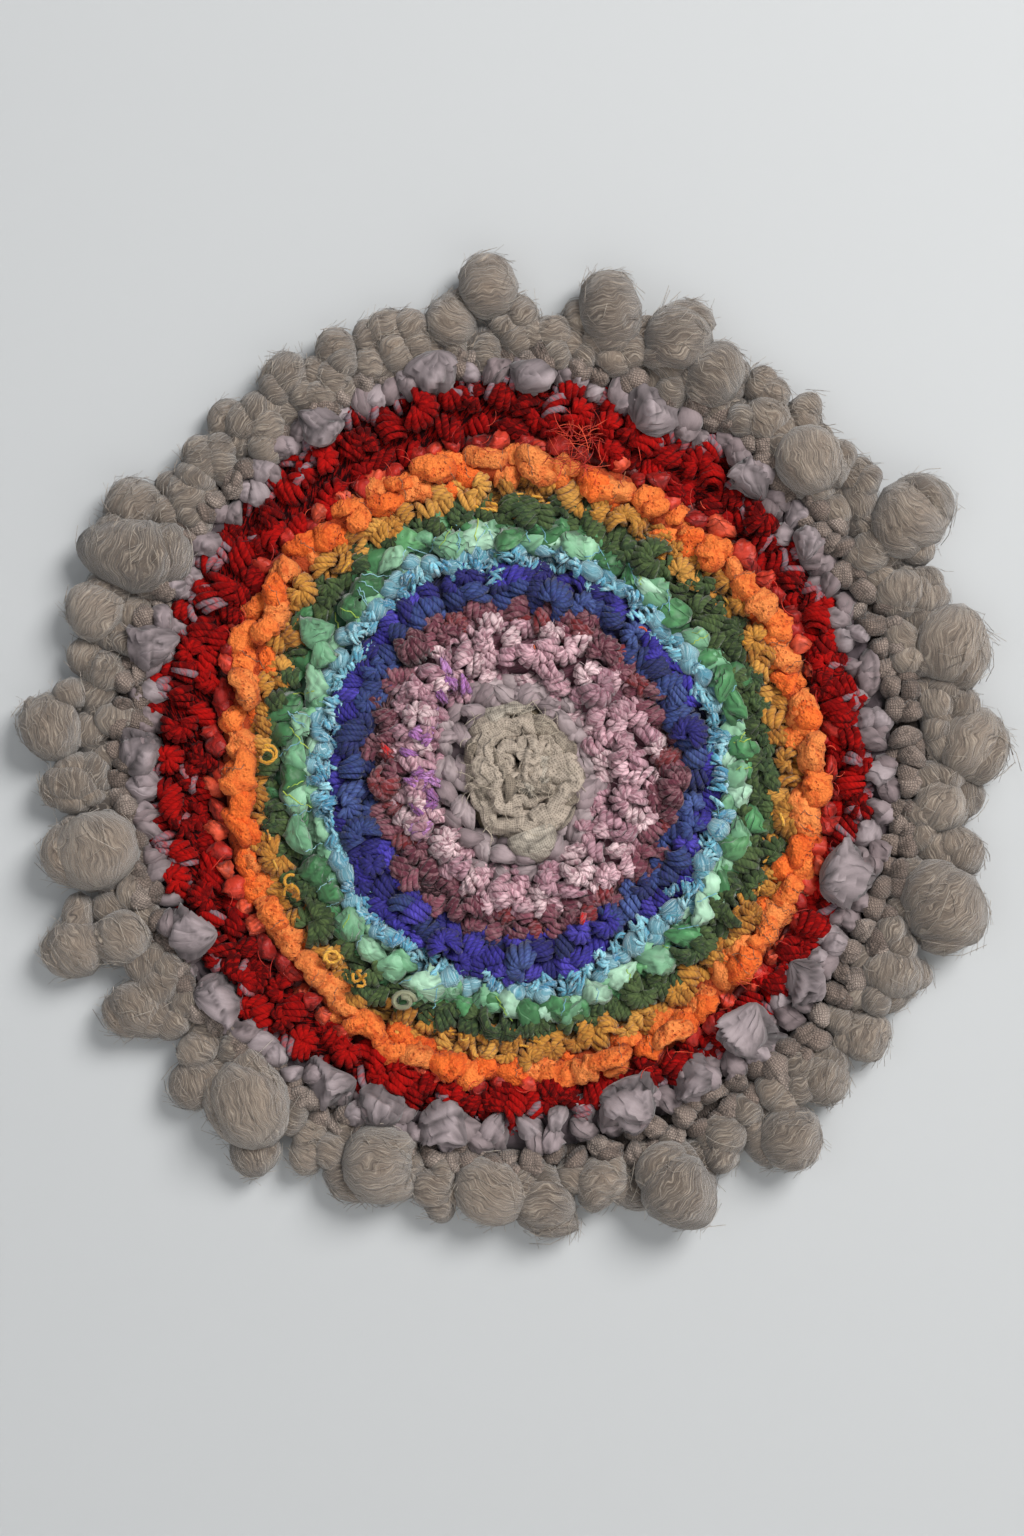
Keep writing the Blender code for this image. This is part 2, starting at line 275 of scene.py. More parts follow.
def tubes(paths, radius, sides, sideways=None, squash=1.0):
    """Closed tubes along paths of points: their points, corners, face sizes and map.

    The map runs along each in millimetres, and once round it from 0 to 1."""
    paths = np.asarray(paths, float)
    count, steps = paths.shape[:2]
    radius = np.broadcast_to(radius, (count, steps))
    ahead = np.gradient(paths, axis=1)
    ahead /= np.linalg.norm(ahead, axis=2, keepdims=True)
    if sideways is None:
        side = np.cross(ahead, (0.0, -1.0, 0.0))
    else:
        side = np.broadcast_to(sideways[:, None], ahead.shape)
        side = side - ahead * (side * ahead).sum(2, keepdims=True)
    side = side / (np.linalg.norm(side, axis=2, keepdims=True) + 1e-9)
    up = np.cross(side, ahead)
    turns = 2 * PI * np.arange(sides) / sides
    ring = side[:, :, None] * np.cos(turns)[:, None] + up[:, :, None] * np.sin(turns)[:, None] * squash
    points = (paths[:, :, None] + ring * radius[:, :, None, None]).reshape(-1, 3)
    tube, ring_number, side_number = np.meshgrid(
        np.arange(count), np.arange(steps - 1), np.arange(sides), indexing="ij",
    )
    first = (tube * steps + ring_number) * sides
    following = (side_number + 1) % sides
    quads = np.stack([
        first + side_number, first + sides + side_number, first + sides + following, first + following,
    ], -1).ravel()
    whole = np.arange(count)[:, None] * steps * sides
    starts = whole + np.arange(sides)
    ends = whole + (steps - 1) * sides + np.arange(sides)[::-1]
    corners = np.concatenate([quads, starts.ravel(), ends.ravel()])
    sizes = np.concatenate([np.full(tube.size, 4), np.full(2 * count, sides)])
    step = np.linalg.norm(np.diff(paths, axis=1), axis=2)
    run = np.concatenate([np.zeros((count, 1)), np.cumsum(step, axis=1)], 1) / MM
    near, far = run[tube, ring_number], run[tube, ring_number + 1]
    map_run = (np.stack([near, far, far, near], -1) + 7.3 * tube[..., None]).ravel()
    map_turn = np.stack([side_number, side_number, side_number + 1, side_number + 1], -1).ravel() / sides
    cap_run = np.concatenate([np.repeat(run[:, 0], sides), np.repeat(run[:, -1], sides)])
    cap_map = np.stack([cap_run, np.zeros(len(cap_run))], 1)
    return points, corners, sizes, np.concatenate([np.stack([map_run, map_turn], 1), cap_map])


class Value:
    """A value in a shader. Sums with it are written as with numbers, and each sign adds a Math node."""

    def __init__(self, output):
        self.output, self.tree = output, output.id_data

    def __add__(self, other):
        return maths("ADD", self, other)

    def __sub__(self, other):
        return maths("SUBTRACT", self, other)

    def __rsub__(self, other):
        return maths("SUBTRACT", other, self)

    def __mul__(self, other):
        return maths("MULTIPLY", self, other)

    def __truediv__(self, other):
        return maths("DIVIDE", self, other)

    def __rtruediv__(self, other):
        return maths("DIVIDE", other, self)

    def __pow__(self, other):
        return maths("POWER", self, other)

    def __abs__(self):
        return maths("ABSOLUTE", self)


def node(tree, kind, settings=None, **given):
    """A shader node with its settings, its inputs filled by their names with underscores for spaces."""
    made = tree.nodes.new(kind)
    for key, value in (settings or {}).items():
        setattr(made, key, value)
    for key, value in given.items():
        fill(made.inputs[key.replace("_", " ")], value)
    return made


def fill(place, value):
    """Links a value to an input, or sets the input to a number or a colour."""
    if isinstance(value, Value):
        value.tree.links.new(value.output, place)
    elif np.ndim(value):
        place.default_value = (*value[:3], 1)
    else:
        place.default_value = value


def tree_of(*values):
    """The shader tree that the first value among values and numbers is in."""
    return next(value.tree for value in values if isinstance(value, Value))


def maths(operation, *values):
    """The result of a Math node on values and numbers."""
    made = node(tree_of(*values), "ShaderNodeMath", {"operation": operation})
    for place, value in zip(made.inputs, values):
        fill(place, value)
    return Value(made.outputs[0])


def wave(value):
    """Rounded ridges: 0 at each half turn of the value and 1 between."""
    return abs(maths("SINE", value))


def in_place(tree):
    """The place on the piece that is shaded, in metres."""
    return Value(node(tree, "ShaderNodeTexCoord").outputs["Object"])


def noise(tree, place, scale, detail, rough):
    """Soft noise of about 0.5 at a place."""
    made = node(tree, "ShaderNodeTexNoise", Vector=place, Scale=scale, Detail=detail, Roughness=rough)
    return Value(made.outputs["Fac"])


def stretched_noise(run, turn, scales, detail=4.0, rough=0.6):
    """Noise drawn out along one way of the strand map."""
    tree = run.tree
    place = node(tree, "ShaderNodeCombineXYZ", X=run * scales[0], Y=turn * scales[1])
    return noise(tree, Value(place.outputs[0]), 1.0, detail, rough)


def object_noise(tree, scale, detail=3.0, rough=0.6):
    """Noise through the whole piece, with its scale in repeats to a metre."""
    return noise(tree, in_place(tree), scale, detail, rough)


def mixed(share, first, second, blend="MIX"):
    """A mix of two colours."""
    settings = {"data_type": "RGBA", "blend_type": blend, "clamp_result": False}
    made = node(tree_of(share, first, second), "ShaderNodeMix", settings)
    for place, value in ((0, share), (6, first), (7, second)):
        fill(made.inputs[place], value)
    return Value(made.outputs[2])


def spread(value, low, high, to_low=0.0, to_high=1.0):
    """A value stretched from one range to another, and kept inside it."""
    made = node(value.tree, "ShaderNodeMapRange")
    for place, given in zip(made.inputs, (value, low, high, to_low, to_high)):
        fill(place, given)
    return Value(made.outputs[0])


def strand_map(tree):
    """The two ways of the strand map: along the piece, and around it."""
    place = node(tree, "ShaderNodeUVMap", {"uv_map": "strands"})
    parts = node(tree, "ShaderNodeSeparateXYZ", Vector=Value(place.outputs[0]))
    return Value(parts.outputs[0]), Value(parts.outputs[1])


def crumples(scale):
    """1 on smooth cloth and 0 along thin irregular creases. scale is in repeats to a metre."""
    return spread(abs(object_noise(scale.tree, scale, 2.0, 0.5) - 0.5), 0.0, 0.16)


def new_group(name, inputs):
    """A shader group that takes a tone and the named inputs, and gives a colour and a height.

    It gives its tree, the inputs' values, and the places for its two results."""
    tree = bpy.data.node_groups.new(name, "ShaderNodeTree")
    tree.interface.new_socket("Tone", in_out="INPUT", socket_type="NodeSocketColor")
    for key, usual in inputs.items():
        kind = "NodeSocketColor" if np.ndim(usual) else "NodeSocketFloat"
        tree.interface.new_socket(key, in_out="INPUT", socket_type=kind).default_value = usual
    tree.interface.new_socket("Color", in_out="OUTPUT", socket_type="NodeSocketColor")
    tree.interface.new_socket("Height", in_out="OUTPUT", socket_type="NodeSocketFloat")
    given = node(tree, "NodeGroupInput").outputs
    results = node(tree, "NodeGroupOutput").inputs
    return tree, {key: Value(given[key]) for key in ("Tone", *inputs)}, results


def woven_cloth_group():
    """Plain-woven cloth: its threads, slubs, gathered folds and creases, with painted shade at the folds and
    creases; the map in millimetres.
    """
    tree, given, results = new_group("woven cloth", {
        "Thread width": 0.6, "Thread contrast": 0.5, "Wrinkles": 1.0,
        "Fold width": 4.0, "Fold depth": 1.0, "Crease scale": 80.0, "Crease depth": 0.5,
    })
    run, turn = strand_map(tree)
    per_mm = PI / given["Thread width"]
    threads = maths("MAXIMUM", wave(run * per_mm), wave(turn * per_mm))
    slubs = stretched_noise(run, turn, (0.35, 2.2))
    wrinkles = stretched_noise(run, turn, (0.16, 0.45), detail=5, rough=0.65)
    across = turn + run * 0.25 + object_noise(tree, 45, detail=2) * 16
    fold = maths("FRACT", across / given["Fold width"])
    gathered = spread(object_noise(tree, 55, detail=2), 0.46, 0.58) * given["Fold depth"]
    # painted shade: the foot of each gathered fold is darkened
    fold_foot_shade = spread(fold, 0, 0.4, 0.32, 0) * maths("MINIMUM", gathered, 1.0)
    dent = (1.0 - crumples(given["Crease scale"])) * given["Crease depth"]
    shade = (spread(threads, 0.3, 1, -0.5, 0.2) + slubs - 0.5) * given["Thread contrast"]
    # the colour takes the painted shade at the fold feet, and a little painted shade in the creases
    bright = (shade + spread(wrinkles, 0.3, 0.7, 0.86, 1.1)) * (1.04 - fold_foot_shade) * (1.0 - dent * 0.1)
    fill(results["Color"], mixed(1.0, given["Tone"], bright, "MULTIPLY"))
    fine = (threads + slubs) * given["Thread contrast"]
    ridge = fold * spread(fold, 0.86, 1.0, 1.0, 0.0) * (gathered * 3.0)
    fill(results["Height"], fine * 0.35 + wrinkles * given["Wrinkles"] + ridge - dent * 1.5)
    return tree


woven_cloth = woven_cloth_group()


def finish_of(name, group, values, roughness, relief, sheen, sheen_rough=0.5, shine=0.25):
    """A material whose colour and relief come from a group, tinted by each piece's own tone."""
    made = bpy.data.materials.new(name)
    made.use_nodes = True
    tree = made.node_tree
    effect = node(tree, "ShaderNodeGroup", {"node_tree": group})
    tone = node(tree, "ShaderNodeAttribute", {"attribute_name": "tone"})
    fill(effect.inputs["Tone"], Value(tone.outputs["Color"]))
    for key, value in values.items():
        fill(effect.inputs[key], value)
    bump = node(tree, "ShaderNodeBump", Distance=relief, Height=Value(effect.outputs["Height"]))
    shader = tree.nodes["Principled BSDF"].inputs
    fill(shader["Base Color"], Value(effect.outputs["Color"]))
    fill(shader["Normal"], Value(bump.outputs[0]))
    shader["Roughness"].default_value = roughness
    shader["Specular IOR Level"].default_value = shine
    shader["Sheen Weight"].default_value = sheen
    shader["Sheen Roughness"].default_value = sheen_rough
    return made


linen = finish_of(
    "beige linen", woven_cloth,
    {
        "Thread width": 1.4, "Thread contrast": 0.8, "Wrinkles": 1.2,
        "Fold width": 7.0, "Fold depth": 0.9, "Crease scale": 90.0, "Crease depth": 1.0,
    },
    roughness=0.9, relief=0.6 * MM, sheen=0.1,
)
LINEN_TONES = (rgb(171, 158, 144), rgb(156, 144, 130), rgb(187, 177, 163), rgb(142, 130, 116))


def sized(rng, *ranges):
    """A length, a width and a height, each drawn from its range in mm."""
    return [rng.uniform(*each) * MM for each in ranges]


def picked(rng, tones, vary=0.10):
    """One of the tones, a little lighter or darker."""
    return tones[rng.integers(len(tones))] * rng.uniform(1 - vary, 1 + vary)


BASE_SHARE = 0.33         # how high a round's base is, as a share of its solid's height
BACK_ROPE_DEPTH = 1.6 * MM
GROUND_STEPS = 90


def ground(heap, tone, ropes, outermost=1.0, inside_of=None):
    """The tight base of a round that its loops stand on, with flat rows of stitches at the back.
    Its tone is given far darker than the loops, as painted shade in the gaps between them.

    outermost is how far out it goes, as a share of the round's width.
    For the middle piece, inside_of names the round whose inner edge its base reaches."""
    steps, inner, outer = edges_of(inside_of or heap.node_name)
    bearing = np.linspace(0, 360, GROUND_STEPS, endpoint=False)
    near = np.interp(bearing, steps, inner, period=360)
    far = np.interp(bearing, steps, outer, period=360)
    if inside_of:
        near, far = np.full(GROUND_STEPS, 0.3 * MM), near
    far = near + (far - near) * outermost
    back = np.linspace(0, 1, 4 * ropes + 1)
    rope = BACK_ROPE_DEPTH * (1 - np.abs(np.sin(PI * ropes * back)) ** 0.7)
    front = BASE_SHARE * -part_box(heap.node_name)[0][1]
    shares = np.concatenate([back, [1.0, 0.75, 0.5, 0.25, 0.0]])
    heights = np.concatenate([rope + 0.2 * MM, [front * 0.7, front, front, front, front * 0.7]])
    around = len(shares)
    radius = near[:, None] + (far - near)[:, None] * shares[None]
    radius = radius + wander(bearing[:, None], radius)
    angle = np.radians(bearing)[:, None]
    points = np.stack([
        radius * np.sin(angle),
        np.broadcast_to(-heights[None], radius.shape),
        radius * np.cos(angle) - CENTRE_DOWN,
    ], -1).reshape(-1, 3)
    i, j = np.meshgrid(np.arange(GROUND_STEPS), np.arange(around), indexing="ij")
    next_i, next_j = (i + 1) % GROUND_STEPS, (j + 1) % around
    quads = np.stack([i * around + j, next_i * around + j, next_i * around + next_j, i * around + next_j], -1)
    arc = float(near.mean() + far.mean()) / 2 * 2 * PI / GROUND_STEPS / MM
    cross = float((far - near).mean()) / around / MM
    run = np.stack([i, i + 1, i + 1, i], -1).ravel() * arc
    turn = np.stack([j, j, j + 1, j + 1], -1).ravel() * cross
    # the base takes the darker tone that it is given: painted shade between the loops
    heap.add(points, quads.reshape(-1), np.full(GROUND_STEPS * around, 4), np.stack([run, turn], 1), tone)


rng = np.random.default_rng(11)
rosette = Heap("linen_rosette", rng)
# the base under the folds is given a much darker linen tone: painted shade in the gaps
ground(rosette, tone=rgb(112, 100, 82), ropes=1, inside_of="mauve_jersey_round")
ROSETTE_EDGE = 41         # mm
WINDS = 2.6               # turns of the strip round the middle
WIND_STEPS = 260
WIND_SIDES = 20
share = np.linspace(0, 1, WIND_STEPS)
angle = 0.6 + 2 * PI * WINDS * share
radius = np.linspace(4, ROSETTE_EDGE - 8, WIND_STEPS)
right, up = radius * np.sin(angle), radius * np.cos(angle)
sway = 2.2 * np.sin(share * 31) + 1.4 * np.sin(share * 67 + 1)
right, up = right + sway * np.sin(share * 16), up + sway * np.cos(share * 16)
radius = np.hypot(right, up)
stretch = 1 + wander(np.degrees(np.arctan2(right, up)), radius * MM) / MM / (radius + 1)
right, up = right * stretch, up * stretch
height = 15.5 + 2.0 * np.sin(share * 23) - 3.0 * share
path = np.stack([right * MM, -height * MM, up * MM - CENTRE_DOWN], 1)
thick = (7.6 + 1.4 * np.sin(share * 29 + 2) + 1.0 * np.sin(share * 71)) * MM
points, corners, sizes, maps = tubes(path[None], thick, WIND_SIDES, squash=0.9)
maps[:, 1] *= 2 * PI * 7  # from turns round the strip to millimetres
grid = points.reshape(WIND_STEPS, WIND_SIDES, 3)
middle = grid.mean(axis=1, keepdims=True)
turn = 2 * PI * np.arange(WIND_SIDES)[None] / WIND_SIDES
along = share[:, None]
crumple = 0.18 * np.sin(3 * turn + along * 90) - 0.20 * np.abs(np.sin(2 * turn - along * 130)) ** 0.5
crumple += 0.20 * np.abs(np.sin(along * 170 + 2 * turn))
grid[:] = middle + (grid - middle) * (1 + crumple[..., None])
rosette.add(points, corners, sizes, maps, LINEN_TONES[0])
fold_ball = Ball(26, 16)
OUTER_FOLDS, INNER_FOLDS = 15, 11
for i in range(OUTER_FOLDS):
    bearing = 360 * i / OUTER_FOLDS + rng.uniform(-8, 8)
    radius = rng.uniform(31, 36) * MM
    shape, maps, shade = folded(
        fold_ball, rng, *sized(rng, (20, 30), (12, 17), (10, 14)),
        creases=3, depth=0.34, arch=0.25, edge=1.3, fan=0.3,
    )
    turn = 90 + rng.uniform(-35, 35)
    placed = lay(shape, bearing, radius, turn, rng.uniform(17, 20) * MM, rng.uniform(-0.2, 0.7))
    rosette.add_ball(fold_ball, placed, maps, picked(rng, LINEN_TONES) * shade)
for i in range(INNER_FOLDS):
    bearing = 360 * i / INNER_FOLDS + rng.uniform(-15, 15)
    radius = rng.uniform(6, 23) * MM
    shape, maps, shade = folded(
        fold_ball, rng, *sized(rng, (18, 28), (8, 13), (8, 13)),
        creases=3, depth=0.40, arch=0.2, edge=1.5, fan=0.3,
    )
    lean = rng.uniform(-0.5, 0.5)
    placed = lay(shape, bearing, radius, 90 + rng.uniform(-60, 60), rng.uniform(20, 24.5) * MM, lean)
    rosette.add_ball(fold_ball, placed, maps, picked(rng, LINEN_TONES) * shade)
# the strip's flat end lies over the jersey at the bottom
TAB_LENGTH, TAB_WIDTH, TAB_HEIGHT = 32 * MM, 24 * MM, 9 * MM
shape, maps, shade = folded(
    fold_ball, rng, TAB_LENGTH, TAB_WIDTH, TAB_HEIGHT, creases=2, depth=0.3, pinch=0.4, edge=1.6,
)
placed = lay(shape, 172, 39 * MM, 75, 22 * MM, 0.5)
rosette.add_ball(fold_ball, placed, maps, LINEN_TONES[2] * shade)


THREAD_SIDES = 4
FRAY_STEPS = 7


def fray(heap, bearing, radius, top, length, thickness, tone, lift=2.0):
    """One loose thread that lies in a curve on the face, its ends a little raised."""
    rng = heap.rng
    b = math.radians(bearing)
    radius = radius + wander(bearing, radius)
    heading = rng.uniform(0, 2 * PI)
    bend = rng.uniform(-2.2, 2.2)
    way = heading + bend * np.linspace(-0.5, 0.5, FRAY_STEPS)
    step = length / (FRAY_STEPS - 1)
    right = np.cumsum(np.sin(way)) * step
    up = np.cumsum(np.cos(way)) * step
    right += radius * math.sin(b) - right.mean()
    up += radius * math.cos(b) - up.mean()
    share = np.linspace(-1, 1, FRAY_STEPS)
    rise = top + lift * MM * (share ** 2) * rng.uniform(-0.4, 1)
    path = np.stack([right, -rise, up - CENTRE_DOWN], 1)
    thin = thickness / 2 * (1 - 0.5 * np.abs(share) ** 3)
    heap.add(*tubes(path[None], thin, THREAD_SIDES), tone)


TORN_THREADS = 110
for _ in range(TORN_THREADS):
    radius = ROSETTE_EDGE * MM * math.sqrt(rng.uniform(0.02, 1.0))
    fray(
        rosette, rng.uniform(0, 360), radius, rng.uniform(18, 23) * MM,
        rng.uniform(5, 14) * MM, rng.uniform(0.3, 0.5) * MM, rgb(190, 178, 160),
    )
rosette.sew("linen_folds", linen)


# Mauve jersey round
# A smooth strip cut from mauve jersey, rolled at its edges and looped once round the rosette.
# Each loop is a soft lump, drawn in where the next one holds it down.

def surface_of_solids():
    """A search tree over all the solids, to find how far they stand off the wall."""
    points, faces = [], []
    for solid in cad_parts.values():
        first = len(points)
        points += [vertex.co for vertex in solid.data.vertices]
        faces += [[first + corner for corner in face.vertices] for face in solid.data.polygons]
    return BVHTree.FromPolygons(points, faces)


solid_surface = surface_of_solids()


def height_at(surface, right, up, beside=0.0):
    """How far a surface stands off the wall at a point, or the value for beside it."""
    hit = surface.ray_cast((right, -1, up - CENTRE_DOWN), (0, 1, 0))[0]
    return -hit[1] if hit else beside


SPOT_JITTER = 0.3         # how far a place strays along its row, as a share of the pitch


def spots(heap, shares, pitch, stray):
    """Places in rows round a heap's solid: bearing, radius, share of its width, and height.

    pitch and stray are in mm: from one place to the next, and off the row."""
    rng = heap.rng
    steps, inner, outer = edges_of(heap.node_name)
    found = []
    for share in shares:
        middle = float(np.mean(inner + (outer - inner) * share))
        count = round(2 * PI * middle / (pitch * MM))
        start = rng.uniform(0, 360)
        for i in range(count):
            bearing = (start + 360 * (i + rng.uniform(-SPOT_JITTER, SPOT_JITTER)) / count) % 360
            low = np.interp(bearing, steps, inner, period=360)
            high = np.interp(bearing, steps, outer, period=360)
            radius = low + (high - low) * share + rng.normal(0, stray) * MM
            b = math.radians(bearing)
            top = height_at(solid_surface, radius * math.sin(b), radius * math.cos(b))
            found.append((bearing, radius, share, top))
    return found


jersey = finish_of(
    "mauve jersey", woven_cloth,
    {
        "Thread width": 0.7, "Thread contrast": 0.15, "Wrinkles": 0.7,
        "Fold width": 5.0, "Fold depth": 0.9, "Crease scale": 60.0, "Crease depth": 0.4,
    },
    roughness=0.85, relief=0.4 * MM, sheen=0.25,
)
JERSEY_TONES = (rgb(160, 143, 146), rgb(147, 130, 133), rgb(172, 156, 158))
rng = np.random.default_rng(12)
jersey_loops = Heap("mauve_jersey_round", rng)
# the base is given a much darker mauve: painted shade between the loops
ground(jersey_loops, tone=rgb(86, 74, 78), ropes=1)
jersey_ball = Ball(20, 12)
for shares, pitch in (((0.08,), 14), ((0.46,), 13), ((0.88,), 12)):
    for bearing, radius, share, top in spots(jersey_loops, shares, pitch, stray=1.6):
        shape, maps, shade = folded(
            jersey_ball, rng, *sized(rng, (17, 25), (10, 14), (9, 12)),
            creases=2, depth=0.28, edge=1.15, fan=0.25,
        )
        turn = 90 + rng.uniform(-60, 60)
        top = max(top, 13 * MM) + rng.uniform(-2, 1.5) * MM
        placed = lay(shape, bearing, radius, turn, top, 0.5 * (share - 0.5))
        jersey_loops.add_ball(jersey_ball, placed, maps, picked(rng, JERSEY_TONES) * shade)
jersey_loops.sew("jersey_loops", jersey)


# Pink yarn round
# Marled pink yarn, soft and slubby, in three rows of short loops that stand up from the base.
# A few satin ends in lilac are worked in beside the jersey on the left.

BUMP_STEPS = 6
# painted shade: yarn bumps are darkened towards their base, where they shade one another
BUMP_SHADE_DEPTH = 10.5 * MM     # how far below its top a bump gets dark


def bundle(rng, length, width, height, count, strand, curl, tangle, sides):
    """One bump of yarn: strands side by side that arch over it and go down at both ends.

    curl is how far round its own length turns, from 0 for a straight row to a whole rose.
    tangle is how far the single strands stray from it."""
    share = (np.arange(count) + 0.5) / count - 0.5
    heading = curl * share
    half = width / 2
    if abs(curl) > 0.2:
        bow = length / curl
        middle = np.stack([bow * np.sin(heading), bow * (1 - np.cos(heading))], 1)
        half = min(half, abs(bow) * 1.05)
    else:
        middle = np.stack([share * length, np.zeros(count)], 1)
    way = np.stack([np.cos(heading), np.sin(heading)], 1)
    across = np.stack([-way[:, 1], way[:, 0]], 1)
    taper = np.sqrt(1 - (0.90 * 2 * share) ** 2) if abs(curl) < 3 else np.ones(count)
    turn = np.linspace(-0.12 * PI, 1.12 * PI, BUMP_STEPS)
    reach = half * taper * rng.uniform(0.9, 1.1, count)
    rise = height * taper * rng.uniform(0.93, 1.07, count)
    slant = rng.choice([-1, 1]) * rng.uniform(0.2, 1.1) + rng.normal(0, tangle * 3, count)
    middle = middle + rng.normal(0, tangle * 1.5 * MM, (count, 2))
    inwards = reach[:, None] * np.cos(turn)
    flat = middle[:, None] + across[:, None] * inwards[..., None]
    flat = flat + way[:, None] * (slant[:, None] * np.cos(turn))[..., None] * length / count
    paths = np.concatenate([flat, (rise[:, None] * np.sin(turn))[..., None]], 2)
    apart = np.clip(np.abs(length - curl * inwards) / count / strand, 0.85, 1.4)
    thick = 0.66 * strand * apart * rng.uniform(0.9, 1.1, (count, 1)) * (1 - 0.25 * np.cos(turn) ** 6)
    sideways = np.concatenate([way, np.zeros((count, 1))], 1)
    return tubes(paths, thick, sides, sideways)


def plied_yarn_group():
    """Plied yarn, with its twist, its fibres, and flecks of a second dye. The map is in millimetres."""
    tree, given, results = new_group("plied yarn", {
        "Fleck": (0.5, 0.5, 0.5, 1), "Fleck share": 0.0, "Twist length": 8.0, "Ply shade": 0.35,
        "Fibre contrast": 0.5,
    })
    run, turn = strand_map(tree)
    twisted = run / given["Twist length"] + turn
    plies = wave(twisted * (3 * PI)) ** 0.6
    fibres = stretched_noise(twisted, run, (7.0, 0.16), detail=5, rough=0.7)
    flecks = spread(stretched_noise(twisted, run, (2.2, 0.20), rough=0.7), 0.47, 0.57) * given["Fleck share"]
    colour = mixed(flecks, given["Tone"], given["Fleck"])
    shade = (fibres - 0.5) * given["Fibre contrast"]
    between = (1.0 - given["Ply shade"]) + plies * given["Ply shade"]
    fill(results["Color"], mixed(1.0, colour, (shade + 1.0) * between, "MULTIPLY"))
    fill(results["Height"], plies * 0.5 + fibres * 0.5)
    return tree


plied_yarn = plied_yarn_group()


def yarn_bump(heap, bearing, radius, top, length, width, height, curl, strand, turn, lean, tones,
              others=None, tangle=0.05, sides=5):
    """One bump of yarn in its place. others gives a second tone and the share of strands in it."""
    rng = heap.rng
    rim = 0.5 * min(width / 2, length / abs(curl)) * abs(curl) if abs(curl) > 3 else 0
    count = max(2, round((length + rim) / strand))
    points, corners, face_sizes, maps = bundle(
        rng, length, width, height, count, strand, curl, tangle, sides,
    )
    placed = lay(points, bearing, radius, turn, top, lean)
    each = np.array([picked(rng, tones, 0.12)] * count) * rng.uniform(0.88, 1.12, (count, 1))
    if others:
        each[rng.uniform(size=count) < others[1]] = others[0]
    tones_of_points = np.repeat(each, len(points) // count, axis=0)
    # the bump's strands get painted shade towards its base
    heap.add(placed, corners, face_sizes, maps, tones_of_points, fade=BUMP_SHADE_DEPTH)


BOBBLE_CLEARANCE = 6.5 * MM
LOWER_MIDDLE, LOWER_REACH, LOWER_SHARE = 195, 50, 0.75    # bearing and degrees, and share of the bumps


def yarn_bumps(heap, shares, pitch, sizes, strand, tones, bobbles, roses, lift=1.5, second=None,
               stray=1.3, bobble_size=1.35, tangle=0.05, below=None):
    """Rows of yarn bumps over a heap's solid. sizes are the least and most of each measure in mm.

    bobbles are the bearings where a larger bump stands up in the middle of the round.
    roses is the share of bumps that curl round on themselves, and lift how high they may rise.
    second gives another tone and its share of strands by row, and below gives other tones for
    most bumps of the lower part."""
    rng = heap.rng
    round_bearings, inner, outer = edges_of(heap.node_name)
    middle = (inner + outer) / 2
    places = spots(heap, shares, pitch, stray)
    usual = float(np.median([top for *_, top in places]))
    for bearing, radius, share, top in places:
        to_bobble = math.radians(min(apart(bearing, at) for at in bobbles)) * radius
        if to_bobble < BOBBLE_CLEARANCE and abs(share - 0.5) < 0.4:
            continue
        length, width, height = sized(rng, *sizes)
        curl = rng.uniform(-0.8, 0.8)
        if rng.uniform() < roses:
            curl = rng.choice([-1, 1]) * rng.uniform(4.2, 5.4)
            length = max(length, 16 * MM) * 1.1
        lean = 0.9 * (share - 0.5) + rng.normal(0, 0.22)
        top = min(max(top, 0.7 * usual), usual * 1.15) + rng.uniform(-3.0, lift) * MM
        others = (second[0], second[1](share)) if second else None
        lower = below and apart(bearing, LOWER_MIDDLE) < LOWER_REACH and rng.uniform() < LOWER_SHARE
        yarn_bump(
            heap, bearing, radius, top, length, width, height, curl, strand * MM,
            rng.uniform(0, 180), lean, below if lower else tones, others, tangle,
        )
    for bearing in bobbles:
        radius = float(np.interp(bearing, round_bearings, middle, period=360))
        b = math.radians(bearing)
        top = height_at(solid_surface, radius * math.sin(b), radius * math.cos(b))
        top += rng.uniform(-0.5, 1.5) * MM
        curl = rng.choice([-1, 1]) * rng.uniform(3.6, 5.4)
        length = bobble_size * rng.uniform(15, 18) * MM
        width, height = bobble_size * 11 * MM, bobble_size * 8 * MM
        yarn_bump(
            heap, bearing, radius, top, length, width, height, curl, strand * MM,
            rng.uniform(0, 180), rng.normal(0, 0.35), tones, None, tangle,
        )


FIBRE_SIDES = 3
FIBRE_STEPS = 3


def fuzz(heap, count, length, thickness, lighter, lift=2.0):
    """Fine loose fibres over the face of a heap, each in about the tone of what it lies on."""
    rng = heap.rng
    points, tones = np.concatenate(heap.points), np.concatenate(heap.tones)
    front = np.flatnonzero(points[:, 1] < np.percentile(points[:, 1], 45))
    start = rng.choice(front, count)
    turn = rng.uniform(0, 2 * PI, count)
    way = np.stack([np.sin(turn), rng.normal(0, 0.2, count), np.cos(turn)], 1)
    side = np.stack([np.cos(turn), np.zeros(count), -np.sin(turn)], 1)
    long = length * rng.uniform(0.5, 1.3, (count, 1))
    share = np.linspace(-0.5, 0.5, FIBRE_STEPS)[None, :, None]
    bend = rng.uniform(-0.9, 0.9, (count, 1, 1)) * long[:, None]
    path = points[start][:, None] + way[:, None] * share * long[:, None] + side[:, None] * bend * share ** 2
    path[:, :, 1] -= (0.4 + lift * rng.uniform(0, 1, (count, 1)) * (share[..., 0] + 0.5) ** 2) * MM
    path[:, :, 1] = np.minimum(path[:, :, 1], BEHIND)
    each = tones[start] * rng.uniform(0.9, lighter, (count, 1))
    points, corners, sizes, maps = tubes(path, thickness / 2, FIBRE_SIDES)
    heap.add(points, corners, sizes, maps, np.repeat(each, len(points) // count, axis=0))


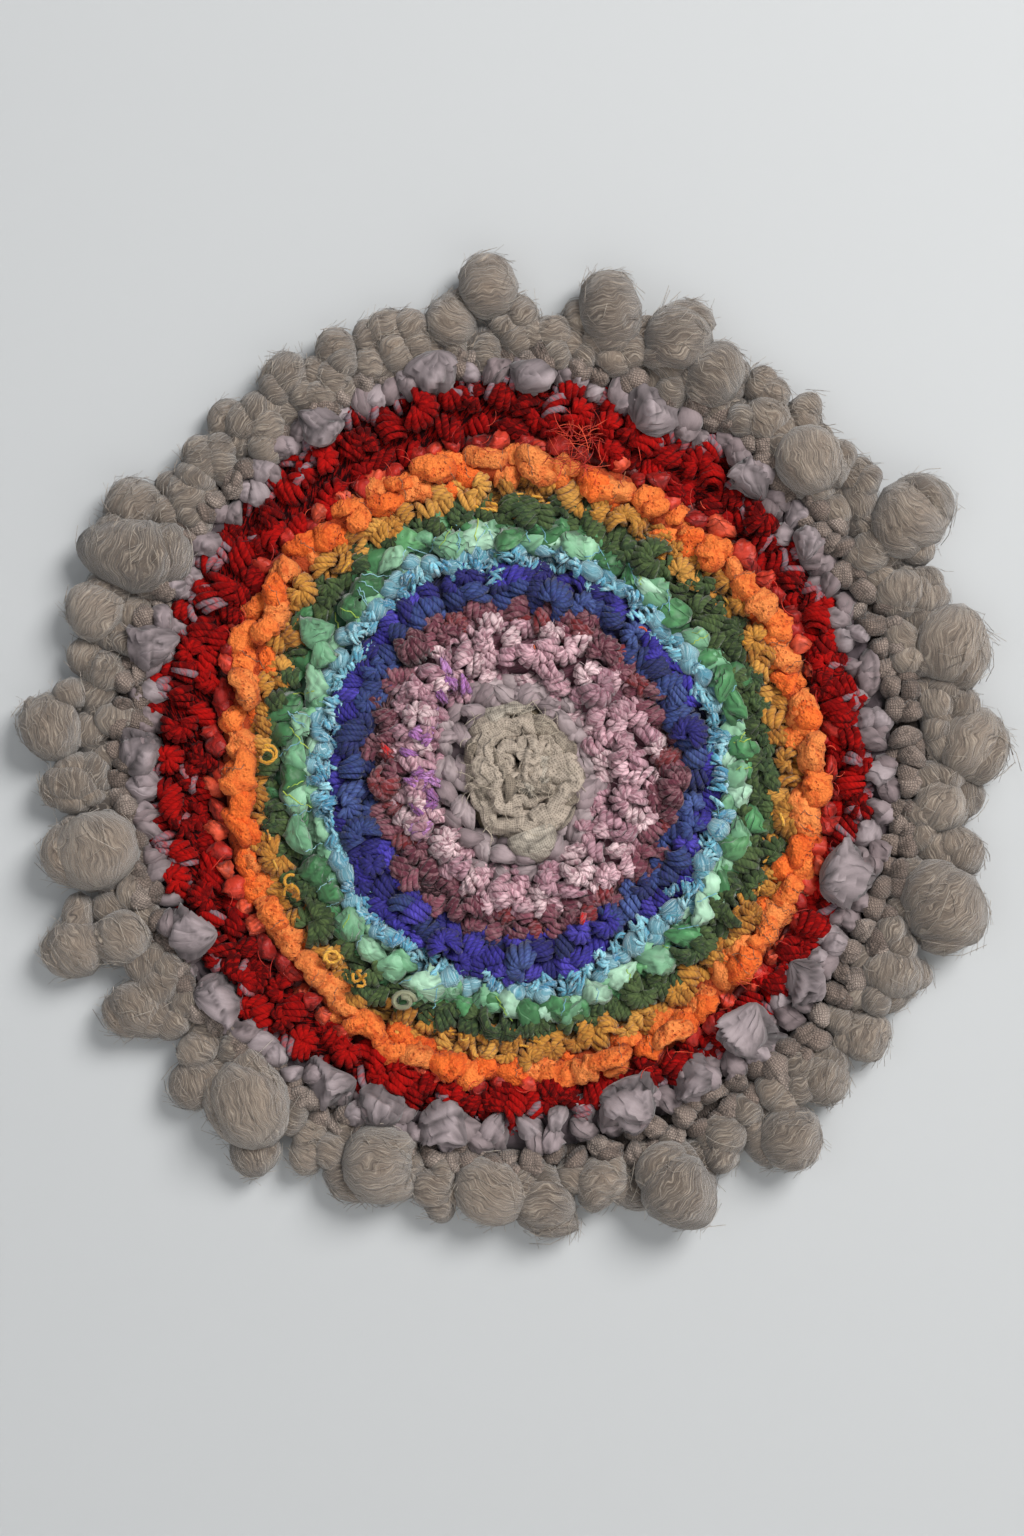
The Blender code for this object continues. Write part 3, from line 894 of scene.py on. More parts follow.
pink = finish_of(
    "marled pink yarn", plied_yarn,
    {"Fleck": rgb(118, 68, 84), "Fleck share": 0.75, "Ply shade": 0.35, "Fibre contrast": 1.8},
    roughness=0.95, relief=0.5 * MM, sheen=0.3,
)
PINK_TONES = (rgb(222, 184, 192), rgb(208, 166, 176), rgb(230, 200, 204), rgb(190, 148, 160))
rng = np.random.default_rng(13)
pink_loops = Heap("pink_yarn_round", rng)
# the base is given a much darker pink: painted shade between the loops
ground(pink_loops, tone=rgb(112, 78, 88), ropes=3)
yarn_bumps(
    pink_loops, shares=(0.08, 0.36, 0.65, 0.93), pitch=11.8,
    sizes=((11, 15), (11, 14), (8, 10)), strand=3.9, tones=PINK_TONES,
    bobbles=(8, 48, 78, 104, 152, 228, 300), roses=0.35, lift=2.0, tangle=0.08,
)
LILAC_TONES = (rgb(176, 118, 186), rgb(194, 140, 200), rgb(160, 104, 172))
steps, inner, outer = edges_of("pink_yarn_round")
LILAC_ENDS = 26
for _ in range(LILAC_ENDS):
    bearing, share = rng.uniform(236, 334), rng.uniform(0.1, 0.75)
    radius = np.interp(bearing, steps, inner + (outer - inner) * share, period=360)
    yarn_bump(
        pink_loops, bearing, radius, rng.uniform(19.5, 21.5) * MM, rng.uniform(4, 7) * MM,
        rng.uniform(8, 13) * MM, 6 * MM, rng.uniform(-0.6, 0.6), 2.0 * MM,
        90 + rng.uniform(-50, 50), 0.0, LILAC_TONES,
    )
fuzz(pink_loops, count=560, length=8 * MM, thickness=0.35 * MM, lighter=1.25)
# one small orange end stands up among the pink loops
fray(
    pink_loops, bearing=6, radius=72 * MM, top=21 * MM, length=7 * MM, thickness=1.6 * MM,
    tone=rgb(226, 104, 44),
)
pink_loops.sew("pink_loops", pink)


# Plum yarn round
# The same kind of marled yarn in plum, with specks of red spun into it, in two rows.
# Its loops stand up from the base side by side, each held by the ones next to it.

plum = finish_of(
    "marled plum yarn", plied_yarn,
    {"Fleck": rgb(158, 116, 122), "Fleck share": 0.6, "Ply shade": 0.3, "Fibre contrast": 1.2},
    roughness=0.95, relief=0.5 * MM, sheen=0.2,
)
PLUM_TONES = (rgb(110, 56, 70), rgb(92, 42, 56), rgb(124, 68, 82), rgb(122, 40, 44))
rng = np.random.default_rng(14)
plum_loops = Heap("plum_yarn_round", rng)
# the base is given a near-black plum: painted shade between the loops
ground(plum_loops, tone=rgb(36, 16, 22), ropes=2)
yarn_bumps(
    plum_loops, shares=(0.22, 0.82), pitch=11.8,
    sizes=((12, 16), (12, 15), (8, 10)), strand=3.3, tones=PLUM_TONES,
    bobbles=(34, 96, 262, 318), roses=0.3, tangle=0.08,
)
# two small red ends stand up among the plum loops
for bearing, radius in ((158, 96), (278, 87)):
    yarn_bump(
        plum_loops, bearing, radius * MM, 22 * MM, 3.5 * MM, 7 * MM, 5 * MM, 0.3, 1.8 * MM,
        rng.uniform(0, 180), 0.0, (rgb(206, 26, 26),),
    )
fuzz(plum_loops, count=260, length=7 * MM, thickness=0.35 * MM, lighter=1.5)
plum_loops.sew("plum_loops", plum)


# Indigo yarn round
# Denim blue yarn on the inside and glossier violet blue yarn outside it, in wrapped loops.
# The loops are drawn up from the base, and some are wound round on themselves.

indigo = finish_of(
    "indigo yarn", plied_yarn,
    {"Fleck": rgb(40, 40, 112), "Fleck share": 0.5, "Ply shade": 0.45, "Fibre contrast": 1.5},
    roughness=0.6, relief=0.6 * MM, sheen=0.15,
)
DENIM_TONES = (rgb(54, 72, 128), rgb(44, 58, 108), rgb(72, 92, 150), rgb(38, 46, 94))
VIOLET_TONES = (rgb(60, 50, 160), rgb(48, 38, 138), rgb(78, 66, 180), rgb(38, 34, 114))
rng = np.random.default_rng(15)
indigo_loops = Heap("indigo_yarn_round", rng)
# the base is given a near-black blue: painted shade between the loops
ground(indigo_loops, tone=rgb(14, 12, 44), ropes=3)
yarn_bumps(
    indigo_loops, shares=(0.08, 0.40), pitch=13,
    sizes=((13, 18), (13, 16), (8, 10)), strand=3.3, tones=DENIM_TONES,
    bobbles=(12, 182, 250), roses=0.35, below=VIOLET_TONES,
)
yarn_bumps(
    indigo_loops, shares=(0.76,), pitch=10.2,
    sizes=((13, 18), (13, 16), (8, 10)), strand=3.1, tones=VIOLET_TONES,
    bobbles=(76, 150, 205), roses=0.35,
)
# one small orange end stands up among the blue loops
fray(
    indigo_loops, bearing=41, radius=117 * MM, top=22 * MM, length=6 * MM, thickness=1.6 * MM,
    tone=rgb(226, 96, 44),
)
fuzz(indigo_loops, count=260, length=6 * MM, thickness=0.3 * MM, lighter=1.3)
indigo_loops.sew("indigo_loops", indigo)


# Turquoise yarn round
# Soft roving in pale turquoise, held down in small puffs, and curly light blue yarn beside it.
# Thin teal threads lie over the inner part, and fine fibres stand off the whole round.

def loose_fibre_group():
    """Loose spun fibre: soft light and dark streaks, and a fuzzy surface. The map is in millimetres."""
    tree, given, results = new_group("loose fibre", {
        "Light": (1, 1, 1, 1), "Dark": (0, 0, 0, 1), "Streaks": 0.5,
    })
    run, turn = strand_map(tree)
    turn = turn + object_noise(tree, 38, detail=2) * 26.0
    fine = stretched_noise(run, turn, (0.06, 0.9), detail=7, rough=0.78)
    broad = stretched_noise(run, turn, (0.035, 0.22))
    colour = mixed(spread(fine, 0.51, 0.62) * given["Streaks"], given["Tone"], given["Light"])
    colour = mixed(spread(fine, 0.49, 0.38) * given["Streaks"], colour, given["Dark"])
    locks = wave(turn * 0.8 + broad * 9.0) ** 0.6
    tufts = object_noise(tree, 260, detail=4, rough=0.7)
    bright = spread(broad, 0.3, 0.7, 0.80, 1.17) * spread(locks, 0, 1, 0.90, 1.03)
    bright = bright * spread(tufts, 0.3, 0.7, 0.88, 1.12)
    fill(results["Color"], mixed(1.0, colour, bright, "MULTIPLY"))
    fill(results["Height"], fine + broad * 0.8 + (locks + tufts) * 0.25)
    return tree


loose_fibre = loose_fibre_group()


def fleecy(ball, rng, length, width, height, ribs, arch=0.35):
    """A puff of loose fibre that runs from one drawn-in end to the other.

    It gives its points and its map in millimetres. ribs is how deep the dents along it are."""
    along = 1 - 2 * ball.along
    reach = (1 - np.abs(along) ** 2.2) ** 0.58
    around = ball.around + rng.uniform(-0.5, 0.5) * along
    swell = np.zeros(len(along))
    for folds in (3, 5, 8, 13):
        phase = rng.uniform(0, 6)
        swell += ribs * np.cos(folds * around + phase + rng.uniform(-1.5, 1.5) * along) * (4 / folds) ** 0.4
    bend = rng.uniform(-0.10, 0.10) * length
    return lump(ball, reach * (1 + swell), bend, length, width, height, arch)


turquoise = finish_of(
    "turquoise roving", loose_fibre,
    {"Light": rgb(214, 238, 242), "Dark": rgb(62, 130, 152), "Streaks": 0.7},
    roughness=0.95, relief=0.8 * MM, sheen=0.5,
)
ROVING_BLUE = (rgb(106, 160, 176), rgb(122, 174, 188), rgb(88, 142, 162))
CURLY_BLUE = (rgb(124, 194, 214), rgb(146, 208, 222), rgb(92, 166, 194), rgb(70, 140, 176))
rng = np.random.default_rng(16)
turquoise_puffs = Heap("turquoise_yarn_round", rng)
# the base is given a dark teal: painted shade between the puffs
ground(turquoise_puffs, tone=rgb(24, 62, 76), ropes=1)
puff_ball = Ball(14, 10)
for bearing, radius, share, top in spots(turquoise_puffs, (0.76,), pitch=10.0, stray=1.8):
    shape, maps = fleecy(
        puff_ball, rng, *sized(rng, (13, 20), (11, 15), (10, 13)), ribs=0.05,
    )
    turn = 90 + rng.uniform(-60, 60)
    placed = lay(shape, bearing, radius, turn, top + rng.uniform(-2, 2) * MM, 0.2)
    # the puffs get painted shade below their top
    turquoise_puffs.add_ball(puff_ball, placed, maps, picked(rng, ROVING_BLUE), fade=7 * MM)
for bearing, radius, share, top in spots(turquoise_puffs, (0.04, 0.40), pitch=8.6, stray=2.2):
    yarn_bump(
        turquoise_puffs, bearing, radius, top + rng.uniform(-1.5, 2.0) * MM, rng.uniform(6, 10) * MM,
        rng.uniform(6, 10) * MM, rng.uniform(5, 7) * MM, rng.uniform(-2.4, 2.4), 1.8 * MM,
        rng.uniform(0, 180), rng.normal(0, 0.4), CURLY_BLUE, tangle=0.30, sides=4,
    )


THREAD_STEPS = 9


def threads_over(heap, surface, count, near, reach, drift, thickness, tones, steps=THREAD_STEPS):
    """Thin threads laid over a surface, each outwards from some distance and drifting round.

    The ranges are in mm, and in degrees for the drift. tones is one tone or some to pick from."""
    rng = heap.rng
    share = np.linspace(0, 1, steps)
    for _ in range(count):
        start = rng.uniform(*near) * MM
        bearing = rng.uniform(0, 360)
        end = start + rng.uniform(*reach) * MM
        turned = rng.uniform(*drift)
        thick = rng.uniform(*thickness) * MM
        tone = picked(rng, tones) if isinstance(tones, tuple) else tones
        b = np.radians(bearing + turned * share + rng.normal(0, 0.25, steps))
        radius = start + (end - start) * share
        radius = radius + wander(np.degrees(b), radius)
        right, up = radius * np.sin(b), radius * np.cos(b)
        tops = np.array([height_at(surface, x, z, beside=10 * MM) for x, z in zip(right, up)])
        level = (np.roll(tops, 1) + np.roll(tops, -1)) / 2 - 1.5 * MM
        tops = np.maximum(tops, level) + thick * 0.2
        path = np.stack([right, -tops, up - CENTRE_DOWN], 1)
        heap.add(*tubes(path[None], thick / 2, THREAD_SIDES), tone)


TEAL_TONES = (rgb(28, 112, 142), rgb(44, 138, 160), rgb(60, 160, 176))
threads_over(
    turquoise_puffs, turquoise_puffs.surface(), count=44, near=(120, 126), reach=(5, 14), drift=(-6, 6),
    thickness=(0.6, 0.9), tones=TEAL_TONES, steps=7,
)
fuzz(turquoise_puffs, count=700, length=5 * MM, thickness=0.45 * MM, lighter=1.35, lift=3.0)
turquoise_puffs.sew("turquoise_puffs", turquoise)


# Green satin round
# Strips of mint and green satin and cotton, folded small and pinched by a thin thread.
# The folds stand on the base, and one end of strip is rolled up among them.

satin = finish_of(
    "green satin strip", woven_cloth,
    {
        "Thread width": 0.4, "Thread contrast": 0.08, "Wrinkles": 0.6,
        "Fold width": 5.5, "Fold depth": 1.3, "Crease scale": 60.0, "Crease depth": 0.6,
    },
    roughness=0.5, relief=0.4 * MM, sheen=0.3, shine=0.4,
)
MINT_TONES = (rgb(146, 198, 160), rgb(128, 184, 144), rgb(170, 214, 184), rgb(112, 170, 128))
LEAF_TONES = (rgb(74, 140, 86), rgb(58, 116, 68), rgb(92, 156, 100), rgb(80, 148, 92))
rng = np.random.default_rng(17)
satin_folds = Heap("green_satin_round", rng)
# the base is given a dark green: painted shade between the folds
ground(satin_folds, tone=rgb(30, 74, 46), ropes=1)
satin_ball = Ball(20, 12)
SATIN_ROWS = (
    # share of the width, tones, pitch in mm
    (0.08, MINT_TONES, 17), (0.45, MINT_TONES + LEAF_TONES[:2], 19), (0.85, LEAF_TONES, 18),
)
for row, tones, pitch in SATIN_ROWS:
    for bearing, radius, share, top in spots(satin_folds, (row,), pitch, stray=1.8):
        shape, maps, shade = folded(
            satin_ball, rng, *sized(rng, (20, 30), (13, 18), (7, 10)),
            creases=4, depth=0.42, pinch=0.7, edge=2.1, nubs=0.02, fan=0.45, crisp=0.2, slant=2.4,
        )
        top += rng.uniform(-2.5, 2.0) * MM
        lean = 0.5 * (share - 0.5) + rng.normal(0, 0.35)
        placed = lay(shape, bearing, radius, 90 + rng.uniform(-50, 50), top, lean)
        satin_folds.add_ball(satin_ball, placed, maps, picked(rng, tones) * shade)
# at the lower left, one end of grey-green strip is rolled up like a snail and stands on its edge
ROLL_BEARING = math.radians(207)
ROLL_RADIUS, ROLL_HEIGHT = 159 * MM, 21 * MM
roll_turn = np.linspace(0, 2.6 * PI, 16)
roll_wide = (7.2 - 1.5 * roll_turn / PI) * MM
roll_path = np.stack([
    ROLL_RADIUS * math.sin(ROLL_BEARING) + roll_wide * np.cos(roll_turn),
    -ROLL_HEIGHT - 0.5 * MM * roll_turn,
    ROLL_RADIUS * math.cos(ROLL_BEARING) - CENTRE_DOWN + 0.8 * roll_wide * np.sin(roll_turn),
], 1)
satin_folds.add(*tubes(roll_path[None], 1.7 * MM, 8, squash=2.4), rgb(134, 136, 108))
satin_surface = satin_folds.surface()
BLUE_THREADS, LIME_THREADS = 40, 18
BLUE_TONES, LIME_TONES = (rgb(112, 172, 188), rgb(140, 190, 200)), (rgb(176, 200, 70), rgb(150, 186, 60))
for tones, count in ((BLUE_TONES, BLUE_THREADS), (LIME_TONES, LIME_THREADS)):
    threads_over(
        satin_folds, satin_surface, count=count, near=(133, 140), reach=(8, 15), drift=(-5, 5),
        thickness=(0.6, 0.8), tones=tones,
    )
satin_folds.sew("satin_folds", satin)


# Forest wool round
# Plump wool in forest green, two strands held together and wound into close loops.
# The loops stand up from the base, with six larger ones wound round on themselves.

forest = finish_of(
    "forest wool", plied_yarn,
    {"Fleck": rgb(96, 116, 66), "Fleck share": 0.5, "Ply shade": 0.4, "Fibre contrast": 1.2},
    roughness=0.95, relief=0.5 * MM, sheen=0.2,
)
FOREST_TONES = (rgb(56, 74, 42), rgb(46, 62, 36), rgb(70, 89, 53), rgb(50, 70, 44))
rng = np.random.default_rng(18)
forest_loops = Heap("forest_wool_round", rng)
# the base is given a near-black green: painted shade between the loops
ground(forest_loops, tone=rgb(14, 22, 12), ropes=1)
yarn_bumps(
    forest_loops, shares=(0.22, 0.8), pitch=13.5,
    sizes=((13, 18), (13, 16), (8, 10)), strand=3.6, tones=FOREST_TONES,
    bobbles=(30, 124, 137, 154, 185, 232), roses=0.4, bobble_size=1.6,
)
fuzz(forest_loops, count=300, length=8 * MM, thickness=0.35 * MM, lighter=1.6)
forest_loops.sew("forest_loops", forest)


# Ochre wool round
# Ochre wool in the same loops, with short ends of a thick yellow yarn between it and the green.
# The yellow ends lie over the loops, and a few of them stand up in small curls.

ochre = finish_of(
    "ochre wool", plied_yarn,
    {"Fleck": rgb(216, 158, 72), "Fleck share": 0.45, "Ply shade": 0.35, "Fibre contrast": 1.1},
    roughness=0.95, relief=0.5 * MM, sheen=0.2,
)
OCHRE_TONES = (rgb(190, 130, 52), rgb(172, 112, 42), rgb(206, 148, 68), rgb(158, 100, 38))
rng = np.random.default_rng(19)
ochre_loops = Heap("ochre_wool_round", rng)
# the base is given a dark brown: painted shade between the loops
ground(ochre_loops, tone=rgb(56, 32, 10), ropes=1)
yarn_bumps(
    ochre_loops, shares=(0.2, 0.8), pitch=14,
    sizes=((13, 17), (12, 15), (8, 10)), strand=3.4, tones=OCHRE_TONES,
    bobbles=(22, 60, 100, 250, 309), roses=0.35, bobble_size=1.5, tangle=0.1,
)
fuzz(ochre_loops, count=260, length=8 * MM, thickness=0.35 * MM, lighter=1.4)
YELLOW_TONES = (rgb(224, 162, 52), rgb(236, 178, 70), rgb(212, 146, 40))
threads_over(
    ochre_loops, ochre_loops.surface(), count=34, near=(158, 166), reach=(-3, 3), drift=(1.6, 2.8),
    thickness=(1.5, 2.1), tones=YELLOW_TONES, steps=5,
)


CURL_TURNS = 0.9
CURL_STEPS = 9
CURL_SIDES = 5


def curl_of_yarn(heap, bearing, radius, top, size, thickness, tone):
    """One little curl that stands up from the face: a coil lying at any angle, partly sunk."""
    rng = heap.rng
    share = np.linspace(0, 1, CURL_STEPS)
    angle = rng.uniform(0, 2 * PI) + 2 * PI * CURL_TURNS * share
    wide = size / 2 * rng.uniform(0.7, 1.2) * (1 - 0.35 * share)
    rise = np.linspace(-0.4, 0.5, CURL_STEPS) * size
    flat = np.stack([np.cos(angle) * wide, np.sin(angle) * wide, rise], 1)
    way = rng.normal(size=3)
    way /= np.linalg.norm(way)
    other = np.cross(way, rng.normal(size=3))
    other /= np.linalg.norm(other)
    turned = flat @ np.array([way, other, np.cross(way, other)])
    b = math.radians(bearing)
    radius = radius + wander(bearing, radius)
    middle = np.array([radius * math.sin(b), -top, radius * math.cos(b) - CENTRE_DOWN])
    path = middle + turned
    path[:, 1] = np.minimum(path[:, 1], BEHIND)
    heap.add(*tubes(path[None], thickness / 2, CURL_SIDES), tone)


for bearing, radius in ((273, 157), (243, 160), (218, 157), (225, 163)):
    for _ in range(2):
        curl_of_yarn(
            ochre_loops, bearing + rng.uniform(-1.5, 1.5), radius * MM, 21 * MM,
            rng.uniform(8, 11) * MM, 2.2 * MM, picked(rng, YELLOW_TONES),
        )
ochre_loops.sew("ochre_loops", ochre)


# Orange knit round
# A strip cut from an orange hand knit, drawn through in lumps and tied down with grey thread.
# Its stitches show as small bumps, with little holes where the knit is stretched.

KNIT_BULGES, KNIT_PITS, KNIT_CREASES = 15, 9, 4


def pitted(ball, rng, length, width, height):
    """A lump of knitted strip, with soft bulges, crisp folds over it and small dents.

    It gives its points, its map in millimetres, and a painted shade that darkens the creases."""
    along = 1 - 2 * ball.along
    reach = (1 - np.abs(along) ** 3.0) ** 0.5
    unit = np.stack([
        np.cos(PI * ball.along), np.sin(PI * ball.along) * np.cos(ball.around),
        np.sin(PI * ball.along) * np.sin(ball.around),
    ], 1)
    swell = np.zeros(len(along))
    for sign, count, wide, amount in ((1, KNIT_BULGES, 0.30, 0.26), (-1, KNIT_PITS, 0.22, 0.30)):
        for _ in range(count):
            way = rng.normal(size=3)
            way[2] = abs(way[2]) if sign < 0 else way[2]
            way /= np.linalg.norm(way)
            near = np.arccos(np.clip(unit @ way, -1, 1))
            swell += sign * amount * rng.uniform(0.6, 1.3) * np.exp(-(near / wide) ** 2)
    shade = np.ones(len(along))
    for _ in range(KNIT_CREASES):
        way = rng.normal(size=3)
        way /= np.linalg.norm(way)
        past = unit @ way + 0.12 * np.sin(5 * unit @ rng.normal(size=3)) - rng.uniform(-0.6, 0.6)
        swell += 0.17 * np.clip(1 - np.abs(past) / 0.7, 0, 1) * (past > 0)
        # painted shade beside each crease
        shade *= 1 - 0.30 * np.exp(-((past + 0.07) / 0.10) ** 2)
    body = reach * (1 + swell - 0.12 + 0.045 * rng.normal(size=len(along)))
    bend = rng.uniform(-0.14, 0.14) * length
    return *lump(ball, body, bend, length, width, height, arch=0.35), shade[:, None]


def nubbly_knit_group():
    """Knitted cloth: its ribs, its small stitches and the holes between them, with painted shade between its
    stitches and ribs, in its holes and in creases; the map in millimetres.
    """
    tree, given, results = new_group("nubbly knit", {
        "Stitches to a metre": 700.0, "Shade between": 0.4, "Rib width": 2.0, "Rib shade": 0.2,
        "Hole share": 0.0, "Crease scale": 120.0, "Crease depth": 0.5,
    })
    cells = node(tree, "ShaderNodeTexVoronoi", Vector=in_place(tree), Scale=given["Stitches to a metre"])
    stitch = spread(Value(cells.outputs["Distance"]), 0.15, 0.75, 1.0, 0.0)
    holes = node(tree, "ShaderNodeTexVoronoi", Vector=in_place(tree), Scale=330, Randomness=0.7)
    hole = spread(Value(holes.outputs["Distance"]), 0.14, 0.32, 1.0, 0.0)
    hole = hole * spread(object_noise(tree, 60), 0.40, 0.52) * given["Hole share"]
    run, turn = strand_map(tree)
    warp = object_noise(tree, 140) * 5.0
    ribs = wave((turn + warp) / given["Rib width"] * PI)
    beads = wave((run + warp) / given["Rib width"] * PI)
    between = (1.0 - ribs * beads) * given["Rib shade"]
    dent = (1.0 - crumples(given["Crease scale"])) * given["Crease depth"]
    fluff = object_noise(tree, 520, detail=5, rough=0.65)
    bright = (1.0 - given["Shade between"]) + stitch * given["Shade between"]
    # a little painted shade in the creases
    bright = bright * spread(fluff, 0.3, 0.7, 0.84, 1.12) * (1.08 - between) * (1.0 - dent * 0.1)
    lit = mixed(1.0, given["Tone"], bright, "MULTIPLY")
    # painted shade: the holes are darkened and deepened in colour
    fill(results["Color"], mixed(hole * 0.42, lit, given["Tone"], "MULTIPLY"))
    fill(results["Height"], stitch * 0.4 + fluff * 0.5 - between * 2.0 - hole * 1.2 - dent * 1.6)
    return tree


nubbly_knit = nubbly_knit_group()
orange = finish_of(
    "orange knit", nubbly_knit,
    {
        "Stitches to a metre": 700.0, "Shade between": 0.18, "Rib width": 2.6, "Rib shade": 0.10,
        "Hole share": 1.0, "Crease scale": 110.0, "Crease depth": 0.45,
    },
    roughness=0.8, relief=0.9 * MM, sheen=0.05,
)
ORANGE_TONES = (rgb(255, 134, 60), rgb(255, 120, 46), rgb(255, 148, 76))
rng = np.random.default_rng(20)
orange_lumps = Heap("orange_knit_round", rng)
# the base is given a dark red-orange: painted shade between the lumps
ground(orange_lumps, tone=rgb(170, 66, 26), ropes=1)
orange_ball = Ball(20, 14)
for shares, pitch in (((0.24,), 18), ((0.68,), 17)):
    for bearing, radius, share, top in spots(orange_lumps, shares, pitch, stray=2.2):
        shape, maps, shade = pitted(
            orange_ball, rng, *sized(rng, (20, 32), (11, 17), (10, 13)),
        )
        top += rng.uniform(-4.0, 2.0) * MM
        turn = 90 + rng.uniform(-40, 40)
        placed = lay(shape, bearing, radius, turn, top, 0.5 * (share - 0.5) + rng.normal(0, 0.3))
        # the creases' painted shade is made redder as well as darker, and the lumps get painted shade below
        # their top
        tone = picked(rng, ORANGE_TONES, 0.06) * shade ** np.array([0.6, 1.4, 1.8])
        orange_lumps.add_ball(orange_ball, placed, maps, tone, fade=14 * MM)
threads_over(
    orange_lumps, orange_lumps.surface(), count=34, near=(172, 178), reach=(9, 16), drift=(-2, 2),
    thickness=(0.5, 0.6), tones=rgb(164, 112, 84),
)
orange_lumps.sew("orange_lumps", orange)


# Coral voile round
# A thin strip of coral voile, twisted and looped between the orange knit and the red wool.
# It is half sheer and a little shiny, and its torn edges fray.

coral = finish_of(
    "coral voile", woven_cloth,
    {
        "Thread width": 0.35, "Thread contrast": 0.15, "Wrinkles": 1.0,
        "Fold width": 3.5, "Fold depth": 1.2, "Crease scale": 110.0, "Crease depth": 0.7,
    },
    roughness=0.5, relief=0.4 * MM, sheen=0.05, shine=0.35,
)
CORAL_TONES = (rgb(214, 62, 40), rgb(190, 40, 28), rgb(232, 88, 56), rgb(168, 28, 20))
rng = np.random.default_rng(21)
coral_folds = Heap("coral_voile_round", rng)
# the base is given a dark red: painted shade between the folds
ground(coral_folds, tone=rgb(90, 16, 12), ropes=1)
coral_ball = Ball(16, 10)
for bearing, radius, share, top in spots(coral_folds, (0.5,), pitch=12.5, stray=2.0):
    shape, maps, shade = folded(
        coral_ball, rng, *sized(rng, (14, 22), (9, 13), (8, 11)), creases=5, depth=0.34, edge=1.5,
        nubs=0.05, fan=0.35, crisp=0.22, slant=2.4,
    )
    placed = lay(shape, bearing, radius, 60 + rng.uniform(-50, 50), top + rng.uniform(-2, 1.5) * MM, 0.0)
    coral_folds.add_ball(coral_ball, placed, maps, picked(rng, CORAL_TONES) * shade)
CORAL_TUFT_THREADS, CORAL_THREADS = 70, 60
for _ in range(CORAL_TUFT_THREADS):
    fray(
        coral_folds, rng.normal(9.5, 2.2), (194 + rng.normal(0, 6)) * MM, rng.uniform(19, 24) * MM,
        rng.uniform(9, 20) * MM, rng.uniform(0.35, 0.6) * MM, picked(rng, CORAL_TONES), 5.0,
    )
for _ in range(CORAL_THREADS):
    fray(
        coral_folds, rng.uniform(0, 360), (192 + rng.normal(0, 3)) * MM, rng.uniform(17, 21) * MM,
        rng.uniform(6, 14) * MM, rng.uniform(0.35, 0.6) * MM, picked(rng, CORAL_TONES), 4.0,
    )
coral_folds.sew("coral_folds", coral)


# Red wool round
# Deep red wool in long thick loops; towards its outer edge a grey strand is plied in with it.
# The loops stand up from the base and lean out over the rounds on both sides.

red = finish_of(
    "red wool", plied_yarn,
    {"Fleck": rgb(190, 18, 12), "Fleck share": 0.5, "Ply shade": 0.3, "Fibre contrast": 1.0},
    roughness=0.9, relief=0.5 * MM, sheen=0.03, shine=0.1,
)
RED_TONES = (rgb(130, 6, 7), rgb(106, 4, 5), rgb(154, 11, 9), rgb(84, 3, 4))
GREY_STRAND = rgb(134, 116, 124)
GREY_OUTSIDE, GREY_MIDDLE = 0.42, 0.09


def grey_share(share):
    """The share of grey strands in a bump, by how far out its row is."""
    return GREY_OUTSIDE if share > 0.8 else GREY_MIDDLE if share > 0.4 else 0.0


rng = np.random.default_rng(22)
red_loops = Heap("red_wool_round", rng)
# the base is given a near-black red: painted shade between the loops
ground(red_loops, tone=rgb(30, 1, 3), ropes=2)
yarn_bumps(
    red_loops, shares=(0.12, 0.50, 0.88), pitch=15.0,
    sizes=((14, 20), (14, 17.5), (8.5, 11)), strand=3.7, tones=RED_TONES,
    bobbles=(10, 44, 212, 248, 276, 345), roses=0.35, lift=2.5,
    second=(GREY_STRAND, grey_share), stray=2.2, tangle=0.09,
)
fuzz(red_loops, count=420, length=9 * MM, thickness=0.35 * MM, lighter=1.5, lift=2.5)
red_loops.sew("red_loops", red)


# Mauve cotton round
# Smooth mauve cotton strip in soft creased puffs; some are knotted and stand over the red wool.
# The puffs are drawn up from the base in two rows, and the knots sit on top of them.

cotton = finish_of(
    "mauve cotton", woven_cloth,
    {
        "Thread width": 0.45, "Thread contrast": 0.12, "Wrinkles": 0.5,
        "Fold width": 7.5, "Fold depth": 1.2, "Crease scale": 50.0, "Crease depth": 0.5,
    },
    roughness=0.85, relief=0.4 * MM, sheen=0.2,
)
COTTON_TONES = (rgb(152, 138, 141), rgb(144, 130, 132), rgb(162, 149, 152), rgb(136, 121, 123))
rng = np.random.default_rng(23)
cotton_puffs = Heap("mauve_cotton_round", rng)
